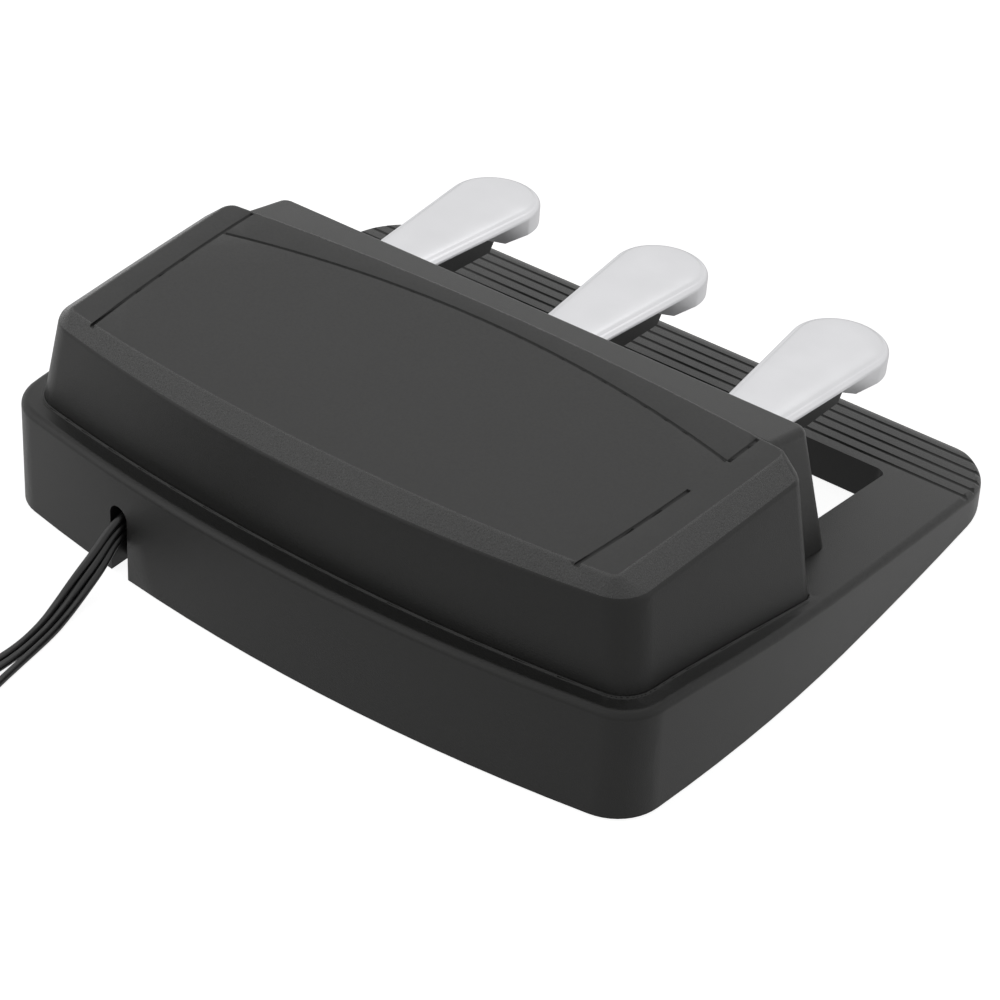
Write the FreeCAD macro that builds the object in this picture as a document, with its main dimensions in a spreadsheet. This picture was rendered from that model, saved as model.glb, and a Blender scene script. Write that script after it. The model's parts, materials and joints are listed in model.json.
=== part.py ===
# Three-pedal floor unit for a digital piano.
# Millimetres. +Z is up, -Y is the player's side, +X is the player's right.
# The origin is on the floor, under the middle of the unit without its cords.

import FreeCAD, Part
import Sketcher
import math
import os

from FreeCAD import Vector

doc = FreeCAD.newDocument("PedalUnit")

# Driving dimensions: name, value and meaning
SIZES = [
    ("caseWidth", 307.0, "widest part of the base case"),
    ("caseRear", 138.0, "reach of the rear wall"),
    ("caseFront", 138.0, "reach of the nose"),
    ("rearBulge", 749.0, "radius of the rear wall in plan"),
    ("sideBulgeRear", 780.0, "radius of a side wall behind the middle"),
    ("sideBulgeFront", 2802.0, "radius of a side wall in front of the middle"),
    ("frontBulge", 60000.0, "radius of the front wall in plan"),
    ("rearCorner", 20.3, "radius of a rear corner in plan"),
    ("frontCorner", 42.0, "radius of a front corner in plan"),
    ("caseDraft", 1.95, "lean of the case walls, degrees"),
    ("caseWall", 2.6, "wall of the base case"),
    ("caseClearance", 1.0, "height of the case edge above the floor"),
    ("roofReach", 90.0, "where the roof height is measured, before and behind the middle"),
    ("rimFront", 17.0, "roof height there in front"),
    ("rimMiddle", 32.3, "roof height at the middle"),
    ("rimBack", 44.7, "roof height there behind"),
    ("rimLevel", 46.1, "height of the level rear rim"),
    ("rimBlend", 200.0, "arc from the sloping roof to its level part"),
    ("rimFillet", 3.0, "rounding of the rim"),
    ("noseRadius", 14.0, "rounding of the nose"),
    ("windowWidth", 239.0, "width of the window behind the ribbed bar"),
    ("windowFront", 87.0, "reach of the window towards the player"),
    ("windowRear", 27.0, "where the window ends under the front cover"),
    ("windowCorner", 5.0, "radius of the window corners"),
    ("grooveFirst", 94.2, "place of the first groove of the bar"),
    ("groovePitch", 7.5, "step from groove to groove"),
    ("grooveCount", 6.0, "grooves across the bar"),
    ("grooveRadius", 1.1, "radius of a groove"),
    ("grooveDepth", 0.8, "depth of a groove"),
    ("slotCentre", 78.0, "where the cord slot sits"),
    ("slotWidth", 9.1, "width of the cord slot"),
    ("slotTop", 31.8, "top of the arched slot"),
    ("slotFront", 124.0, "inner end of the walls beside the slot"),
    ("footTaper", 4.9, "turn of the housing sides in plan, degrees"),
    ("footLevel", 40.0, "height at which the housing foot is measured"),
    ("houseLow", 28.0, "height from which the housing walls are drawn"),
    ("footHalf", 141.6, "half width of the housing foot at its side centre"),
    ("footSide", 64.0, "side centre of the housing foot"),
    ("footRear", 127.3, "reach of the housing foot to the rear"),
    ("footRearBulge", 890.0, "radius of the housing rear in plan"),
    ("footSideBulge", 4000.0, "radius of the housing sides in plan"),
    ("footCorner", 13.0, "rear corner of the housing foot"),
    ("houseFront", 6.5, "front face of the housing at its middle"),
    ("houseFrontBulge", 1100.0, "radius of the housing front in plan"),
    ("houseFrontCorner", 7.0, "front corners of the housing in plan"),
    ("houseOpening", 232.0, "width of the housing's open front behind the cover"),
    ("houseLip", 79.0, "lower edge of the housing above that opening"),
    ("edgeHeight", 81.0, "height of the upper edge of the housing walls"),
    ("edgeHalf", 132.9, "half width of that edge at its side centre"),
    ("edgeRear", 125.5, "reach of that edge to the rear"),
    ("edgeRearBulge", 640.0, "radius of that edge at the rear"),
    ("edgeCorner", 15.0, "rear corners of that edge"),
    ("edgeTaper", 3.6, "turn of the upper side edges in plan, degrees"),
    ("panelRise", 6.6, "flat top panel above that edge"),
    ("panelHalf", 124.5, "half width of the panel at its side centre"),
    ("panelRear", 118.0, "reach of the panel to the rear"),
    ("panelRearBulge", 909.0, "radius of the panel at the rear"),
    ("panelTaper", 3.9, "turn of the panel sides in plan, degrees"),
    ("panelCorner", 3.0, "rear corners of the panel"),
    ("panelFrontCorner", 6.0, "front corners of the panel"),
    ("houseWall", 2.5, "wall of the housing and of the front cover"),
    ("houseEdge", 1.6, "height of the bevel along the upper edge of the housing"),
    ("panelEdge", 2.0, "rounding of the panel's edge"),
    ("lipWidth", 0.9, "width of the raised lip round the foot of the housing"),
    ("lipHeight", 0.5, "height of that lip"),
    ("lipStart", 11.0, "front end of the lip behind the housing's front"),
    ("ledgeWidth", 7.0, "ledge that carries the housing"),
    ("seatGap", 0.2, "clearance of a moulding on its seat"),
    ("lineWidth", 1.6, "width of an engraved line"),
    ("lineDepth", 0.9, "depth of an engraved line"),
    ("lineBulge", 411.0, "radius of the engraved arc"),
    ("lineMiddle", 17.0, "engraved arc at its middle"),
    ("lineReach", 114.0, "half width of the engraved arc"),
    ("lineSide", 62.0, "middle of the engraved side lines"),
    ("lineHalf", 112.8, "half width across those lines at their middle"),
    ("lineTaper", 4.7, "turn of the side lines in plan, degrees"),
    ("lineSideBulge", 900.0, "radius of the side lines"),
    ("lineFront", 15.0, "front end of a side line"),
    ("lineRear", 112.5, "rear end of a side line"),
    ("lineBreakFront", 33.0, "front end of the break in the left side line"),
    ("lineBreakRear", 55.0, "rear end of that break"),
    ("coverTopHalf", 121.5, "half width of the front cover at its top"),
    ("coverFootHalf", 132.0, "half width of the front cover at its foot"),
    ("coverTopFront", 11.3, "reach of the front cover at its top"),
    ("coverFootFront", 18.3, "reach of the front cover at its foot"),
    ("coverFootHeight", 29.4, "height of that foot"),
    ("coverFrontHeight", 81.2, "height of the cover's front edge"),
    ("coverSlope", 12.6, "slope of the cover's top, degrees"),
    ("coverCorner", 5.0, "front corners of the cover in plan"),
    ("coverEdge", 3.5, "rounding of the cover's top edge"),
    ("pedalPitch", 84.0, "step from pedal to pedal"),
    ("pedalOpening", 32.0, "width of an opening for a pedal"),
    ("openingLow", 35.0, "lower edge of an opening"),
    ("openingHigh", 62.5, "upper edge of an opening"),
    ("headCentre", 101.0, "reach of the centre of a pedal's head"),
    ("headRadius", 19.8, "radius of a pedal's head"),
    ("neckHalf", 11.8, "half width of a pedal at the cover"),
    ("neckPlace", 20.0, "where that half width is measured"),
    ("bladeRear", 10.0, "rear end of a blade inside the cover"),
    ("bladeHeight", 56.4, "height of a blade 120 in front of the middle"),
    ("bladeDatum", 120.0, "where that height is measured"),
    ("bladeSlope", 1.66, "slope of a blade, degrees"),
    ("bladeThickness", 2.4, "thickness of a blade"),
    ("skirtDepth", 9.5, "depth of the skirt around the head"),
    ("skirtWall", 2.2, "wall of that skirt"),
    ("skirtEnd", 80.0, "where the skirt ends"),
    ("bladeEdge", 1.6, "rounding of a blade's upper edge"),
    ("leverWidth", 24.0, "width of a lever"),
    ("leverFront", 88.0, "front end of a lever under its blade"),
    ("leverNose", 41.8, "underside of a lever near its front end"),
    ("leverMiddle", 45.0, "underside of a lever half way to that end"),
    ("leverFloor", 46.3, "underside of a lever above its spring"),
    ("leverStep", 1.2, "step in the lever's top behind its blade"),
    ("pivotPlace", 62.0, "axis of the pedals"),
    ("pivotHeight", 50.0, "height of that axis"),
    ("bossRadius", 11.0, "boss of a lever round the shaft"),
    ("pedalTravel", 7.0, "turn of a pedal, degrees"),
    ("shaftDiameter", 8.0, "pivot shaft"),
    ("shaftOverhang", 3.4, "shaft end past the outer ears"),
    ("clipWidth", 2.5, "width of a shaft clip round the shaft"),
    ("clipGap", 0.6, "clip beside its ear"),
    ("bushDiameter", 12.0, "outside of a bush"),
    ("runningGap", 0.05, "radial clearance of a turning fit"),
    ("sensorStep", 14.0, "shaft to pin, and pin to sensor axis"),
    ("pinDiameter", 4.0, "pin of a lever in its fork"),
    ("forkGap", 0.3, "clearance of the fork round its pin"),
    ("forkWall", 2.7, "wall of the fork beside its slot"),
    ("armThickness", 3.0, "sensor arm"),
    ("armOffset", 14.5, "sensor arm from the lever's middle"),
    ("hubDiameter", 12.0, "hub of a sensor arm"),
    ("stubDiameter", 6.0, "stub of a sensor arm in its sensor"),
    ("stubLength", 6.0, "length of that stub"),
    ("potSide", 13.0, "sensor body along the unit"),
    ("potWidth", 12.0, "sensor body across the unit"),
    ("plateThickness", 1.6, "steel bottom plate"),
    ("plateHeight", 1.6, "underside of the bottom plate"),
    ("plateGap", 0.4, "clearance of the plate in the case"),
    ("steelSheet", 2.0, "sheet of the pivot bracket"),
    ("earThickness", 2.5, "ear of the pivot bracket"),
    ("earInset", 12.5, "middle of an outer ear inside the housing at the shaft"),
    ("bracketFront", 12.0, "front end of the bracket"),
    ("bracketRear", 80.0, "rear wall of the bracket"),
    ("shelfHeight", 38.0, "top of the bracket's shelf"),
    ("shelfRear", 106.0, "rear end of the shelf"),
    ("shelfHalf", 110.0, "half length of the shelf"),
    ("earFront", 16.0, "front edge of an ear before the pivot"),
    ("earRear", 14.0, "rear edge of an ear behind the pivot"),
    ("boardThickness", 1.6, "circuit board"),
    ("boardOverhang", 3.0, "board past the ends of the shelf"),
    ("boardMargin", 2.0, "board behind the shelf's wall and past its edge"),
    ("footPadDiameter", 14.0, "rubber foot"),
    ("screwDiameter", 3.0, "all screws"),
    ("screwHead", 6.4, "head of a screw"),
    ("screwHeadHeight", 1.1, "height of that head"),
    ("screwGrip", 8.0, "length of a screw in its post"),
    ("postDiameter", 8.0, "screw posts"),
    ("postInset", 17.5, "front screw posts inside the case's widest part"),
    ("rearPostInset", 13.0, "rear screw posts inside the rear wall"),
    ("housePostInset", 19.6, "posts of the housing inside its foot"),
    ("coverPostInset", 9.5, "posts of the cover inside its top edge"),
    ("footInsetFront", 29.3, "front feet inside the case"),
    ("footInsetRear", 37.5, "rear feet inside the case"),
    ("springRadius", 7.5, "middle radius of a return spring"),
    ("springWire", 1.6, "wire of a return spring"),
    ("springPitch", 5.0, "rise of a spring per turn"),
    ("springPlace", 20.0, "where the springs stand"),
    ("stopThickness", 3.0, "rubber and felt stops"),
    ("stopGap", 0.3, "stop to lever at the end of the travel"),
    ("stopMargin", 1.0, "seat showing on each side of a stop"),
    ("stopOverhang", 3.0, "stop and its flange past the outer levers"),
    ("bridgeFront", 30.0, "front edge of the bridge over the levers"),
    ("bridgeRear", 42.0, "rear edge of the bridge"),
    ("clampWidth", 12.0, "cord clamp across"),
    ("clampDepth", 8.0, "cord clamp along"),
    ("clampPlace", 116.0, "middle of the clamp"),
    ("clampTop", 32.0, "top of the clamp"),
    ("cordDiameter", 3.0, "each cord"),
    ("cordRiseStep", 4.0, "cord to cord in the clamp"),
    ("cordMiddle", 23.0, "height of the middle cord in the clamp"),
    ("coilOuter", 26.0, "outermost turn of a coil"),
    ("coilStep", 4.25, "step from turn to turn"),
    ("coilLayer", 3.45, "step from layer to layer"),
    ("coilTurns", 4.0, "turns in each layer"),
    ("plugRest", 5.0, "height of a plug's axis on the floor"),
    ("plugStep", 7.0, "plug beside the outermost turn"),
    ("plugBody", 24.0, "moulded body of a plug"),
    ("plugShaft", 6.35, "phone plug shaft"),
    ("plugReach", 30.0, "length of that shaft"),
]

sheet = doc.addObject("Spreadsheet::Sheet", "Sizes")
for row, (alias, value, meaning) in enumerate(SIZES, start=1):
    sheet.set("A%d" % row, alias)
    sheet.set("B%d" % row, str(value))
    sheet.set("C%d" % row, meaning)
    sheet.setAlias("B%d" % row, alias)
doc.recompute()


def size(alias):
    """A driving dimension from the sheet."""
    return float(sheet.get(alias))


NODES = []


def keep(name, thing):
    """Label an object as a sub-part."""
    thing.Label = name
    NODES.append(thing)
    return thing


def feature(name, shape):
    """A sub-part whose shape is set here."""
    thing = doc.addObject("Part::Feature", name)
    thing.Shape = shape
    return keep(name, thing)


def primitive(kind, name, cells, place):
    """Part primitive whose sizes follow the sheet; cells gives an expression for each property."""
    thing = doc.addObject("Part::" + kind, name)
    for prop, cell in cells.items():
        thing.setExpression(prop, cell)
    thing.Placement = place
    return thing


def at(x, y, z, axis=Vector(0, 0, 1)):
    """Placement with the Z axis turned to an axis."""
    return FreeCAD.Placement(Vector(x, y, z), FreeCAD.Rotation(Vector(0, 0, 1), axis))


def cylinder(name, diameter, height, place):
    """Cylinder bound to the sheet."""
    return primitive("Cylinder", name, {"Radius": "Sizes.%s / 2" % diameter, "Height": height}, place)


def joined(kind, name, base, tool):
    """Part::Cut or Part::Fuse of two objects."""
    thing = doc.addObject("Part::" + kind, name)
    thing.Base = base
    thing.Tool = tool
    return thing


def sketched(name, points, follow):
    """Body with a closed sketch on its XZ plane; follow gives an expression pair for each corner."""
    body = doc.addObject("PartDesign::Body", name)
    sketch = body.newObject("Sketcher::SketchObject", name + "_sketch")
    plane = [part for part in body.Origin.OriginFeatures if part.Role == "XZ_Plane"][0]
    sketch.AttachmentSupport = (plane, "")
    sketch.MapMode = "FlatFace"
    count = len(points)
    for index in range(count):
        start = Vector(points[index][0], points[index][1], 0)
        end = Vector(points[(index + 1) % count][0], points[(index + 1) % count][1], 0)
        sketch.addGeometry(Part.LineSegment(start, end), False)
    for index in range(count):
        sketch.addConstraint(Sketcher.Constraint("Coincident", index, 2, (index + 1) % count, 1))
    for index in range(count):
        for kind, part in (("DistanceX", 0), ("DistanceY", 1)):
            place = sketch.addConstraint(Sketcher.Constraint(kind, -1, 1, index, 1, points[index][part]))
            sketch.renameConstraint(place, "%s%d" % (kind, index))
            sketch.setExpression("Constraints.%s%d" % (kind, index), follow[index][part])
    return body, sketch


def turned_body(name, corners, place):
    """Turned piece from (radius, height) expressions, revolved about its own Z axis."""
    values = [(evaluate(radius), evaluate(height)) for radius, height in corners]
    body, sketch = sketched(name, values, corners)
    turn = body.newObject("PartDesign::Revolution", name + "_turn")
    turn.Profile = sketch
    turn.ReferenceAxis = (sketch, ["V_Axis"])
    turn.Angle = 360.0
    body.Tip = turn
    body.Placement = place
    return keep(name, body)


def evaluate(cell):
    """Value of an expression over the sheet's cells."""
    holder = doc.addObject("App::FeaturePython", "Value")
    holder.addProperty("App::PropertyFloat", "Value")
    holder.setExpression("Value", cell)
    holder.recompute()
    value = holder.Value
    doc.removeObject(holder.Name)
    return value


# Walls and outlines in plan

def turned(degrees):
    """Unit vector in plan."""
    return Vector(math.cos(math.radians(degrees)), math.sin(math.radians(degrees)), 0)


class Wall:
    """An arched wall in plan: its outermost point, the way it faces and its radius."""

    def __init__(self, x, y, facing, radius):
        self.radius = radius
        self.facing = turned(facing)
        self.centre = Vector(x, y, 0) - self.facing * radius

    def mirrored(self):
        """The same wall on the other side of the unit."""
        other = Wall(0, 0, 0, self.radius)
        other.facing = Vector(-self.facing.x, self.facing.y, 0)
        other.centre = Vector(-self.centre.x, self.centre.y, 0)
        return other


def corner_centre(first, second, radius):
    """Centre of the arc that touches two walls from inside."""
    one = first.radius - radius
    two = second.radius - radius
    across = second.centre - first.centre
    span = across.Length
    along = (one ** 2 - two ** 2 + span ** 2) / (2 * span)
    aside = math.sqrt(max(one ** 2 - along ** 2, 0))
    unit = across / span
    base = first.centre + unit * along
    normal = Vector(-unit.y, unit.x, 0) * aside
    outward = first.facing + second.facing
    if normal.dot(outward) < 0:
        normal = normal * -1
    return base + normal


def arc_between(centre, radius, start, end, height):
    """Arc about a centre from one plan direction to another, counter-clockwise."""
    first = math.atan2(start.y, start.x)
    last = math.atan2(end.y, end.x)
    if last < first:
        last += 2 * math.pi
    points = []
    for angle in (first, (first + last) / 2, last):
        reach = Vector(radius * math.cos(angle), radius * math.sin(angle), height)
        points.append(Vector(centre.x, centre.y, 0) + reach)
    return Part.Arc(*points).toShape()


def outline(walls, corners, inset, height):
    """Closed wire through walls and rounded corners, drawn in by inset.

    corners[i] rounds the corner from walls[i] to the next wall; 0 means the two touch.
    """
    count = len(walls)
    corners = [max(radius, inset + 0.5) if radius > 0 else 0 for radius in corners]
    joints = []
    for index in range(count):
        here = walls[index]
        there = walls[(index + 1) % count]
        if corners[index] > 0:
            centre = corner_centre(here, there, corners[index])
            joints.append((centre, (centre - here.centre), (centre - there.centre)))
        else:
            inner = there.centre - here.centre
            if there.radius > here.radius:
                inner = inner * -1
            joints.append((None, inner, inner))
    edges = []
    for index in range(count):
        here = walls[index]
        start = joints[index - 1][2]
        end = joints[index][1]
        edges.append(arc_between(here.centre, here.radius - inset, start, end, height))
        centre, into, out = joints[index]
        if centre is not None:
            edges.append(arc_between(centre, corners[index] - inset, into, out, height))
    return Part.Wire(edges)


def column(low_wire, high_wire):
    """Solid between two outlines with the same edges."""
    return Part.makeLoft([low_wire, high_wire], True, True)


def box(x0, x1, y0, y1, z0, z1):
    """Block between two corners."""
    return Part.makeBox(x1 - x0, y1 - y0, z1 - z0, Vector(x0, y0, z0))


def rod(radius, start, end):
    """Cylinder between two points."""
    return Part.makeCylinder(radius, (end - start).Length, start, end - start)


def along_x(face, half):
    """Face in the YZ plane pulled out both ways."""
    face.translate(Vector(-half, 0, 0))
    return face.extrude(Vector(2 * half, 0, 0))


def profile(points):
    """Face from points given as (y, z)."""
    corners = [Vector(0, y, z) for y, z in points]
    return Part.Face(Part.makePolygon(corners + corners[:1]))


def rounded(shape, radius, chosen):
    """Round the chosen edges."""
    edges = [edge for edge in shape.Edges if chosen(edge)]
    return shape.makeFillet(radius, edges)


def middle(edge):
    """A point half way along an edge."""
    return edge.valueAt((edge.FirstParameter + edge.LastParameter) / 2)


# Base case: outline, roof line and walls

CASE_WALLS = [
    Wall(size("caseWidth") / 2, 0, 0, size("sideBulgeRear")),
    Wall(0, size("caseRear"), 90, size("rearBulge")),
]
CASE_WALLS.append(CASE_WALLS[0].mirrored())
front_left = Wall(size("caseWidth") / 2, 0, 0, size("sideBulgeFront")).mirrored()
CASE_WALLS.append(front_left)
CASE_WALLS.append(Wall(0, -size("caseFront"), -90, size("frontBulge")))
CASE_WALLS.append(front_left.mirrored())
CASE_CORNERS = 2 * [size("rearCorner")] + [0] + 2 * [size("frontCorner")] + [0]

TALL = 1.3 * size("rimLevel")
ROOF_REACH = size("roofReach")


def circle_through(a, b, c):
    """Centre and radius of the circle through three (y, z) points."""
    circle = Part.Arc(Vector(0, *a), Vector(0, *b), Vector(0, *c)).toShape().Curve
    return circle.Center.y, circle.Center.z, circle.Radius


ROOF = circle_through(
    (-ROOF_REACH, size("rimFront")),
    (0, size("rimMiddle")),
    (ROOF_REACH, size("rimBack")),
)


def roof_height(y, drop=0.0):
    """Height of the roof line, or of a line that runs drop below it."""
    centre_y, centre_z, radius = ROOF
    curve = centre_z + math.sqrt((radius - drop) ** 2 - (y - centre_y) ** 2)
    return min(curve, size("rimLevel") - drop)


def inner_arc(radius, y=None, z=None, drop=0.0):
    """Centre and touching point of an arc inside the roof line, at a given y or z of its centre."""
    centre_y, centre_z, roof_radius = ROOF
    reach = roof_radius - drop - radius
    if y is None:
        y = centre_y - math.sqrt(reach ** 2 - (z - centre_z) ** 2)
    else:
        z = centre_z + math.sqrt(reach ** 2 - (y - centre_y) ** 2)
    centre = Vector(0, y, z)
    away = (centre - Vector(0, centre_y, centre_z)).normalize()
    return centre, centre + away * radius, away


def under_roof(drop, front, low=-10.0):
    """Everything below the roof line less drop, behind a nose at front."""
    centre_y, centre_z, roof_radius = ROOF
    nose = max(size("noseRadius") - drop, 1.0)
    nose_centre, top, away = inner_arc(nose, y=nose - front, drop=drop)
    tip = Vector(0, -front, nose_centre.z)
    halfway = nose_centre + (away + Vector(0, -1, 0)).normalize() * nose
    level = size("rimLevel") - drop
    blend = size("rimBlend") - drop
    blend_centre, far, away = inner_arc(blend, z=level - blend, drop=drop)
    shoulder = blend_centre + (away + Vector(0, 0, 1)).normalize() * blend
    flat = Vector(0, blend_centre.y, level)
    crown_y = (top.y + far.y) / 2
    crown = Vector(0, crown_y, centre_z + math.sqrt((roof_radius - drop) ** 2 - (crown_y - centre_y) ** 2))
    end = size("caseRear") + 20
    edges = [
        Part.makeLine(Vector(0, -front, low), tip),
        Part.Arc(tip, halfway, top).toShape(),
        Part.Arc(top, crown, far).toShape(),
        Part.Arc(far, shoulder, flat).toShape(),
        Part.makeLine(flat, Vector(0, end, level)),
        Part.makeLine(Vector(0, end, level), Vector(0, end, low)),
        Part.makeLine(Vector(0, end, low), Vector(0, -front, low)),
    ]
    return along_x(Part.Face(Part.Wire(edges)), size("caseWidth"))


def case_column(inset, low, high):
    """Drafted column inside the case outline."""
    lean = math.tan(math.radians(size("caseDraft")))
    below = outline(CASE_WALLS, CASE_CORNERS, inset + lean * low, low)
    above = outline(CASE_WALLS, CASE_CORNERS, inset + lean * high, high)
    return column(below, above)


def window_block(grow, low, high):
    """Upright block with the outline of the window."""
    half = size("windowWidth") / 2 + grow
    block = box(-half, half, -size("windowFront") - grow, -size("windowRear") + grow, low, high)
    corner = size("windowCorner") + grow
    upright = [e for e in block.Edges if abs(e.Vertexes[0].Z - e.Vertexes[-1].Z) > 1]
    return block.makeFillet(corner, upright)


def upright(radius, x, y, low, high):
    """Standing cylinder."""
    return Part.makeCylinder(radius, high - low, Vector(x, y, low))


def both_sides(places):
    """The places and their mirror images across the middle."""
    return [(side * x, y) for x, y in places for side in (1, -1)]


def pedal_places():
    """Name and middle of each pedal."""
    return [("left", -size("pedalPitch")), ("centre", 0.0), ("right", size("pedalPitch"))]


# Housing: its walls at any height

FOOT_LEVEL = size("footLevel")
HOUSE_LOW = size("houseLow")
PANEL_LEVEL = size("edgeHeight") + size("panelRise")


def house_walls(height):
    """Walls of the housing at a height, from its foot to its upper edge and beyond."""
    share = (height - FOOT_LEVEL) / (size("edgeHeight") - FOOT_LEVEL)

    def between(foot, edge):
        return size(foot) + (size(edge) - size(foot)) * share

    half = between("footHalf", "edgeHalf")
    side = Wall(half, size("footSide"), between("footTaper", "edgeTaper"), size("footSideBulge"))
    rear = Wall(0, between("footRear", "edgeRear"), 90, between("footRearBulge", "edgeRearBulge"))
    front = Wall(0, size("houseFront"), -90, size("houseFrontBulge"))
    rear_corner = between("footCorner", "edgeCorner")
    corners = [rear_corner, rear_corner, size("houseFrontCorner"), size("houseFrontCorner")]
    return [side, rear, side.mirrored(), front], corners


def upper_walls(height):
    """Walls of the sloping band between the upper edge and the flat top panel."""
    share = (height - size("edgeHeight")) / size("panelRise")

    def between(edge, panel):
        return size(edge) + (size(panel) - size(edge)) * share

    half = between("edgeHalf", "panelHalf")
    side = Wall(half, size("footSide"), between("edgeTaper", "panelTaper"), size("footSideBulge"))
    rear = Wall(0, between("edgeRear", "panelRear"), 90, between("edgeRearBulge", "panelRearBulge"))
    front = Wall(0, size("houseFront"), -90, size("houseFrontBulge"))
    rear_corner = between("edgeCorner", "panelCorner")
    front_corner = between("houseFrontCorner", "panelFrontCorner")
    return [side, rear, side.mirrored(), front], [rear_corner, rear_corner, front_corner, front_corner]


def house_outline(level, inset, lowered=0.0):
    """Outline that the housing has at a level, drawn in by inset and set lower."""
    walls, corners = house_walls(level) if level <= size("edgeHeight") else upper_walls(level)
    return outline(walls, corners, inset, level - lowered)


def house_column(inset):
    """Column that follows the lower walls of the housing."""
    return column(house_outline(HOUSE_LOW, inset), house_outline(TALL, inset))


def foot_column(inset, low, high):
    """Upright column over the outline of the housing's foot."""
    walls, corners = house_walls(FOOT_LEVEL)
    return column(outline(walls, corners, inset, low), outline(walls, corners, inset, high))


# Front cover: its walls at any height

def cover_outline(height, inset):
    """Outline of the front cover at a height."""
    rise = size("coverFrontHeight") - size("coverFootHeight")
    share = (height - size("coverFootHeight")) / rise
    half = size("coverFootHalf") + (size("coverTopHalf") - size("coverFootHalf")) * share
    reach = size("coverFootFront") + (size("coverTopFront") - size("coverFootFront")) * share
    side = Wall(half, 0, 0, size("frontBulge"))
    rear = Wall(0, 3 * size("houseFront"), 90, size("frontBulge"))
    front = Wall(0, -reach, -90, size("frontBulge"))
    corners = [size("coverCorner")] * 4
    return outline([side, rear, side.mirrored(), front], corners, inset, height)


# Places of the posts and screws that come up through the bottom plate

PLATE_TOP = size("plateHeight") + size("plateThickness")
CASE_SIDE = size("caseWidth") / 2
CASE_POSTS = both_sides([
    (CASE_SIDE - size("postInset"), -size("windowFront") / 2 - size("windowRear")),
    (0.3 * CASE_SIDE, size("caseRear") - size("rearPostInset")),
])
HOUSE_POSTS = both_sides([(size("footHalf") - size("housePostInset"), 0.72 * size("footRear"))])
COVER_POSTS = both_sides([(size("coverTopHalf") - size("coverPostInset"), -size("coverTopFront") / 3)])
BRACKET_SCREWS = both_sides([(0.7 * size("pedalPitch"), size("pivotPlace") - size("steelSheet"))])
FEET = both_sides([
    (CASE_SIDE - size("footInsetFront"), size("footInsetFront") - size("caseFront")),
    (CASE_SIDE - size("footInsetRear"), size("caseRear") - 0.8 * size("footInsetRear")),
])
BORE = size("screwDiameter") / 2 + size("runningGap")
POST = size("postDiameter") / 2
EAR_CELL = (
    "(Sizes.footHalf - (Sizes.footHalf - Sizes.edgeHalf) * (Sizes.pivotHeight - Sizes.footLevel)"
    " / (Sizes.edgeHeight - Sizes.footLevel) - Sizes.earInset)"
)
EAR_OUTER = evaluate(EAR_CELL)
BRACKET_FLOOR = PLATE_TOP + size("steelSheet")


# Base case

def groove_rod(index):
    """Rod that cuts one groove of the ribbed bar."""
    y = -size("grooveFirst") - index * size("groovePitch")
    nose = size("noseRadius")
    nose_centre, top, away = inner_arc(nose, y=nose - size("caseFront"))
    out = size("grooveRadius") - size("grooveDepth")
    if y > top.y:
        centre_y, centre_z, radius = ROOF
        away = Vector(0, y - centre_y, roof_height(y) - centre_z).normalize()
        place = Vector(0, y, roof_height(y)) + away * out
    else:
        lift = math.sqrt(nose ** 2 - (y - nose_centre.y) ** 2)
        away = Vector(0, y - nose_centre.y, lift).normalize()
        place = nose_centre + away * (nose + out)
    half = size("caseWidth")
    return rod(size("grooveRadius"), place - Vector(half, 0, 0), place + Vector(half, 0, 0))


def on_rim(edge):
    """True for an edge between the roof or the nose and an outer wall."""
    point = middle(edge)
    along = edge.tangentAt((edge.FirstParameter + edge.LastParameter) / 2)
    if point.z < size("caseClearance") + 0.1 or abs(along.z) > 0.9:
        return False
    return abs(point.x) > 2.0 or point.y > size("caseRear") - size("rimFillet") - 5


def slot_block(grow, low, high):
    """Block round the cord slot, from behind its inner end to past the rear wall."""
    half = size("slotWidth") / 2 + size("caseWall") + grow
    x = size("slotCentre")
    return box(x - half, x + half, size("slotFront") - grow, size("caseRear") + 5, low, high)


def foot_lip():
    """Narrow lip that stands up round the sides and the rear of the housing's foot."""
    gap = size("seatGap")
    ring = house_column(-gap - size("lipWidth")).cut(house_column(-gap))
    half = size("caseWidth") / 2
    ends = box(-half, half, -size("caseFront"), size("houseFront") + size("lipStart"), 0, TALL)
    return ring.common(under_roof(-size("lipHeight"), size("caseFront") + 1)).cut(ends)


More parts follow.
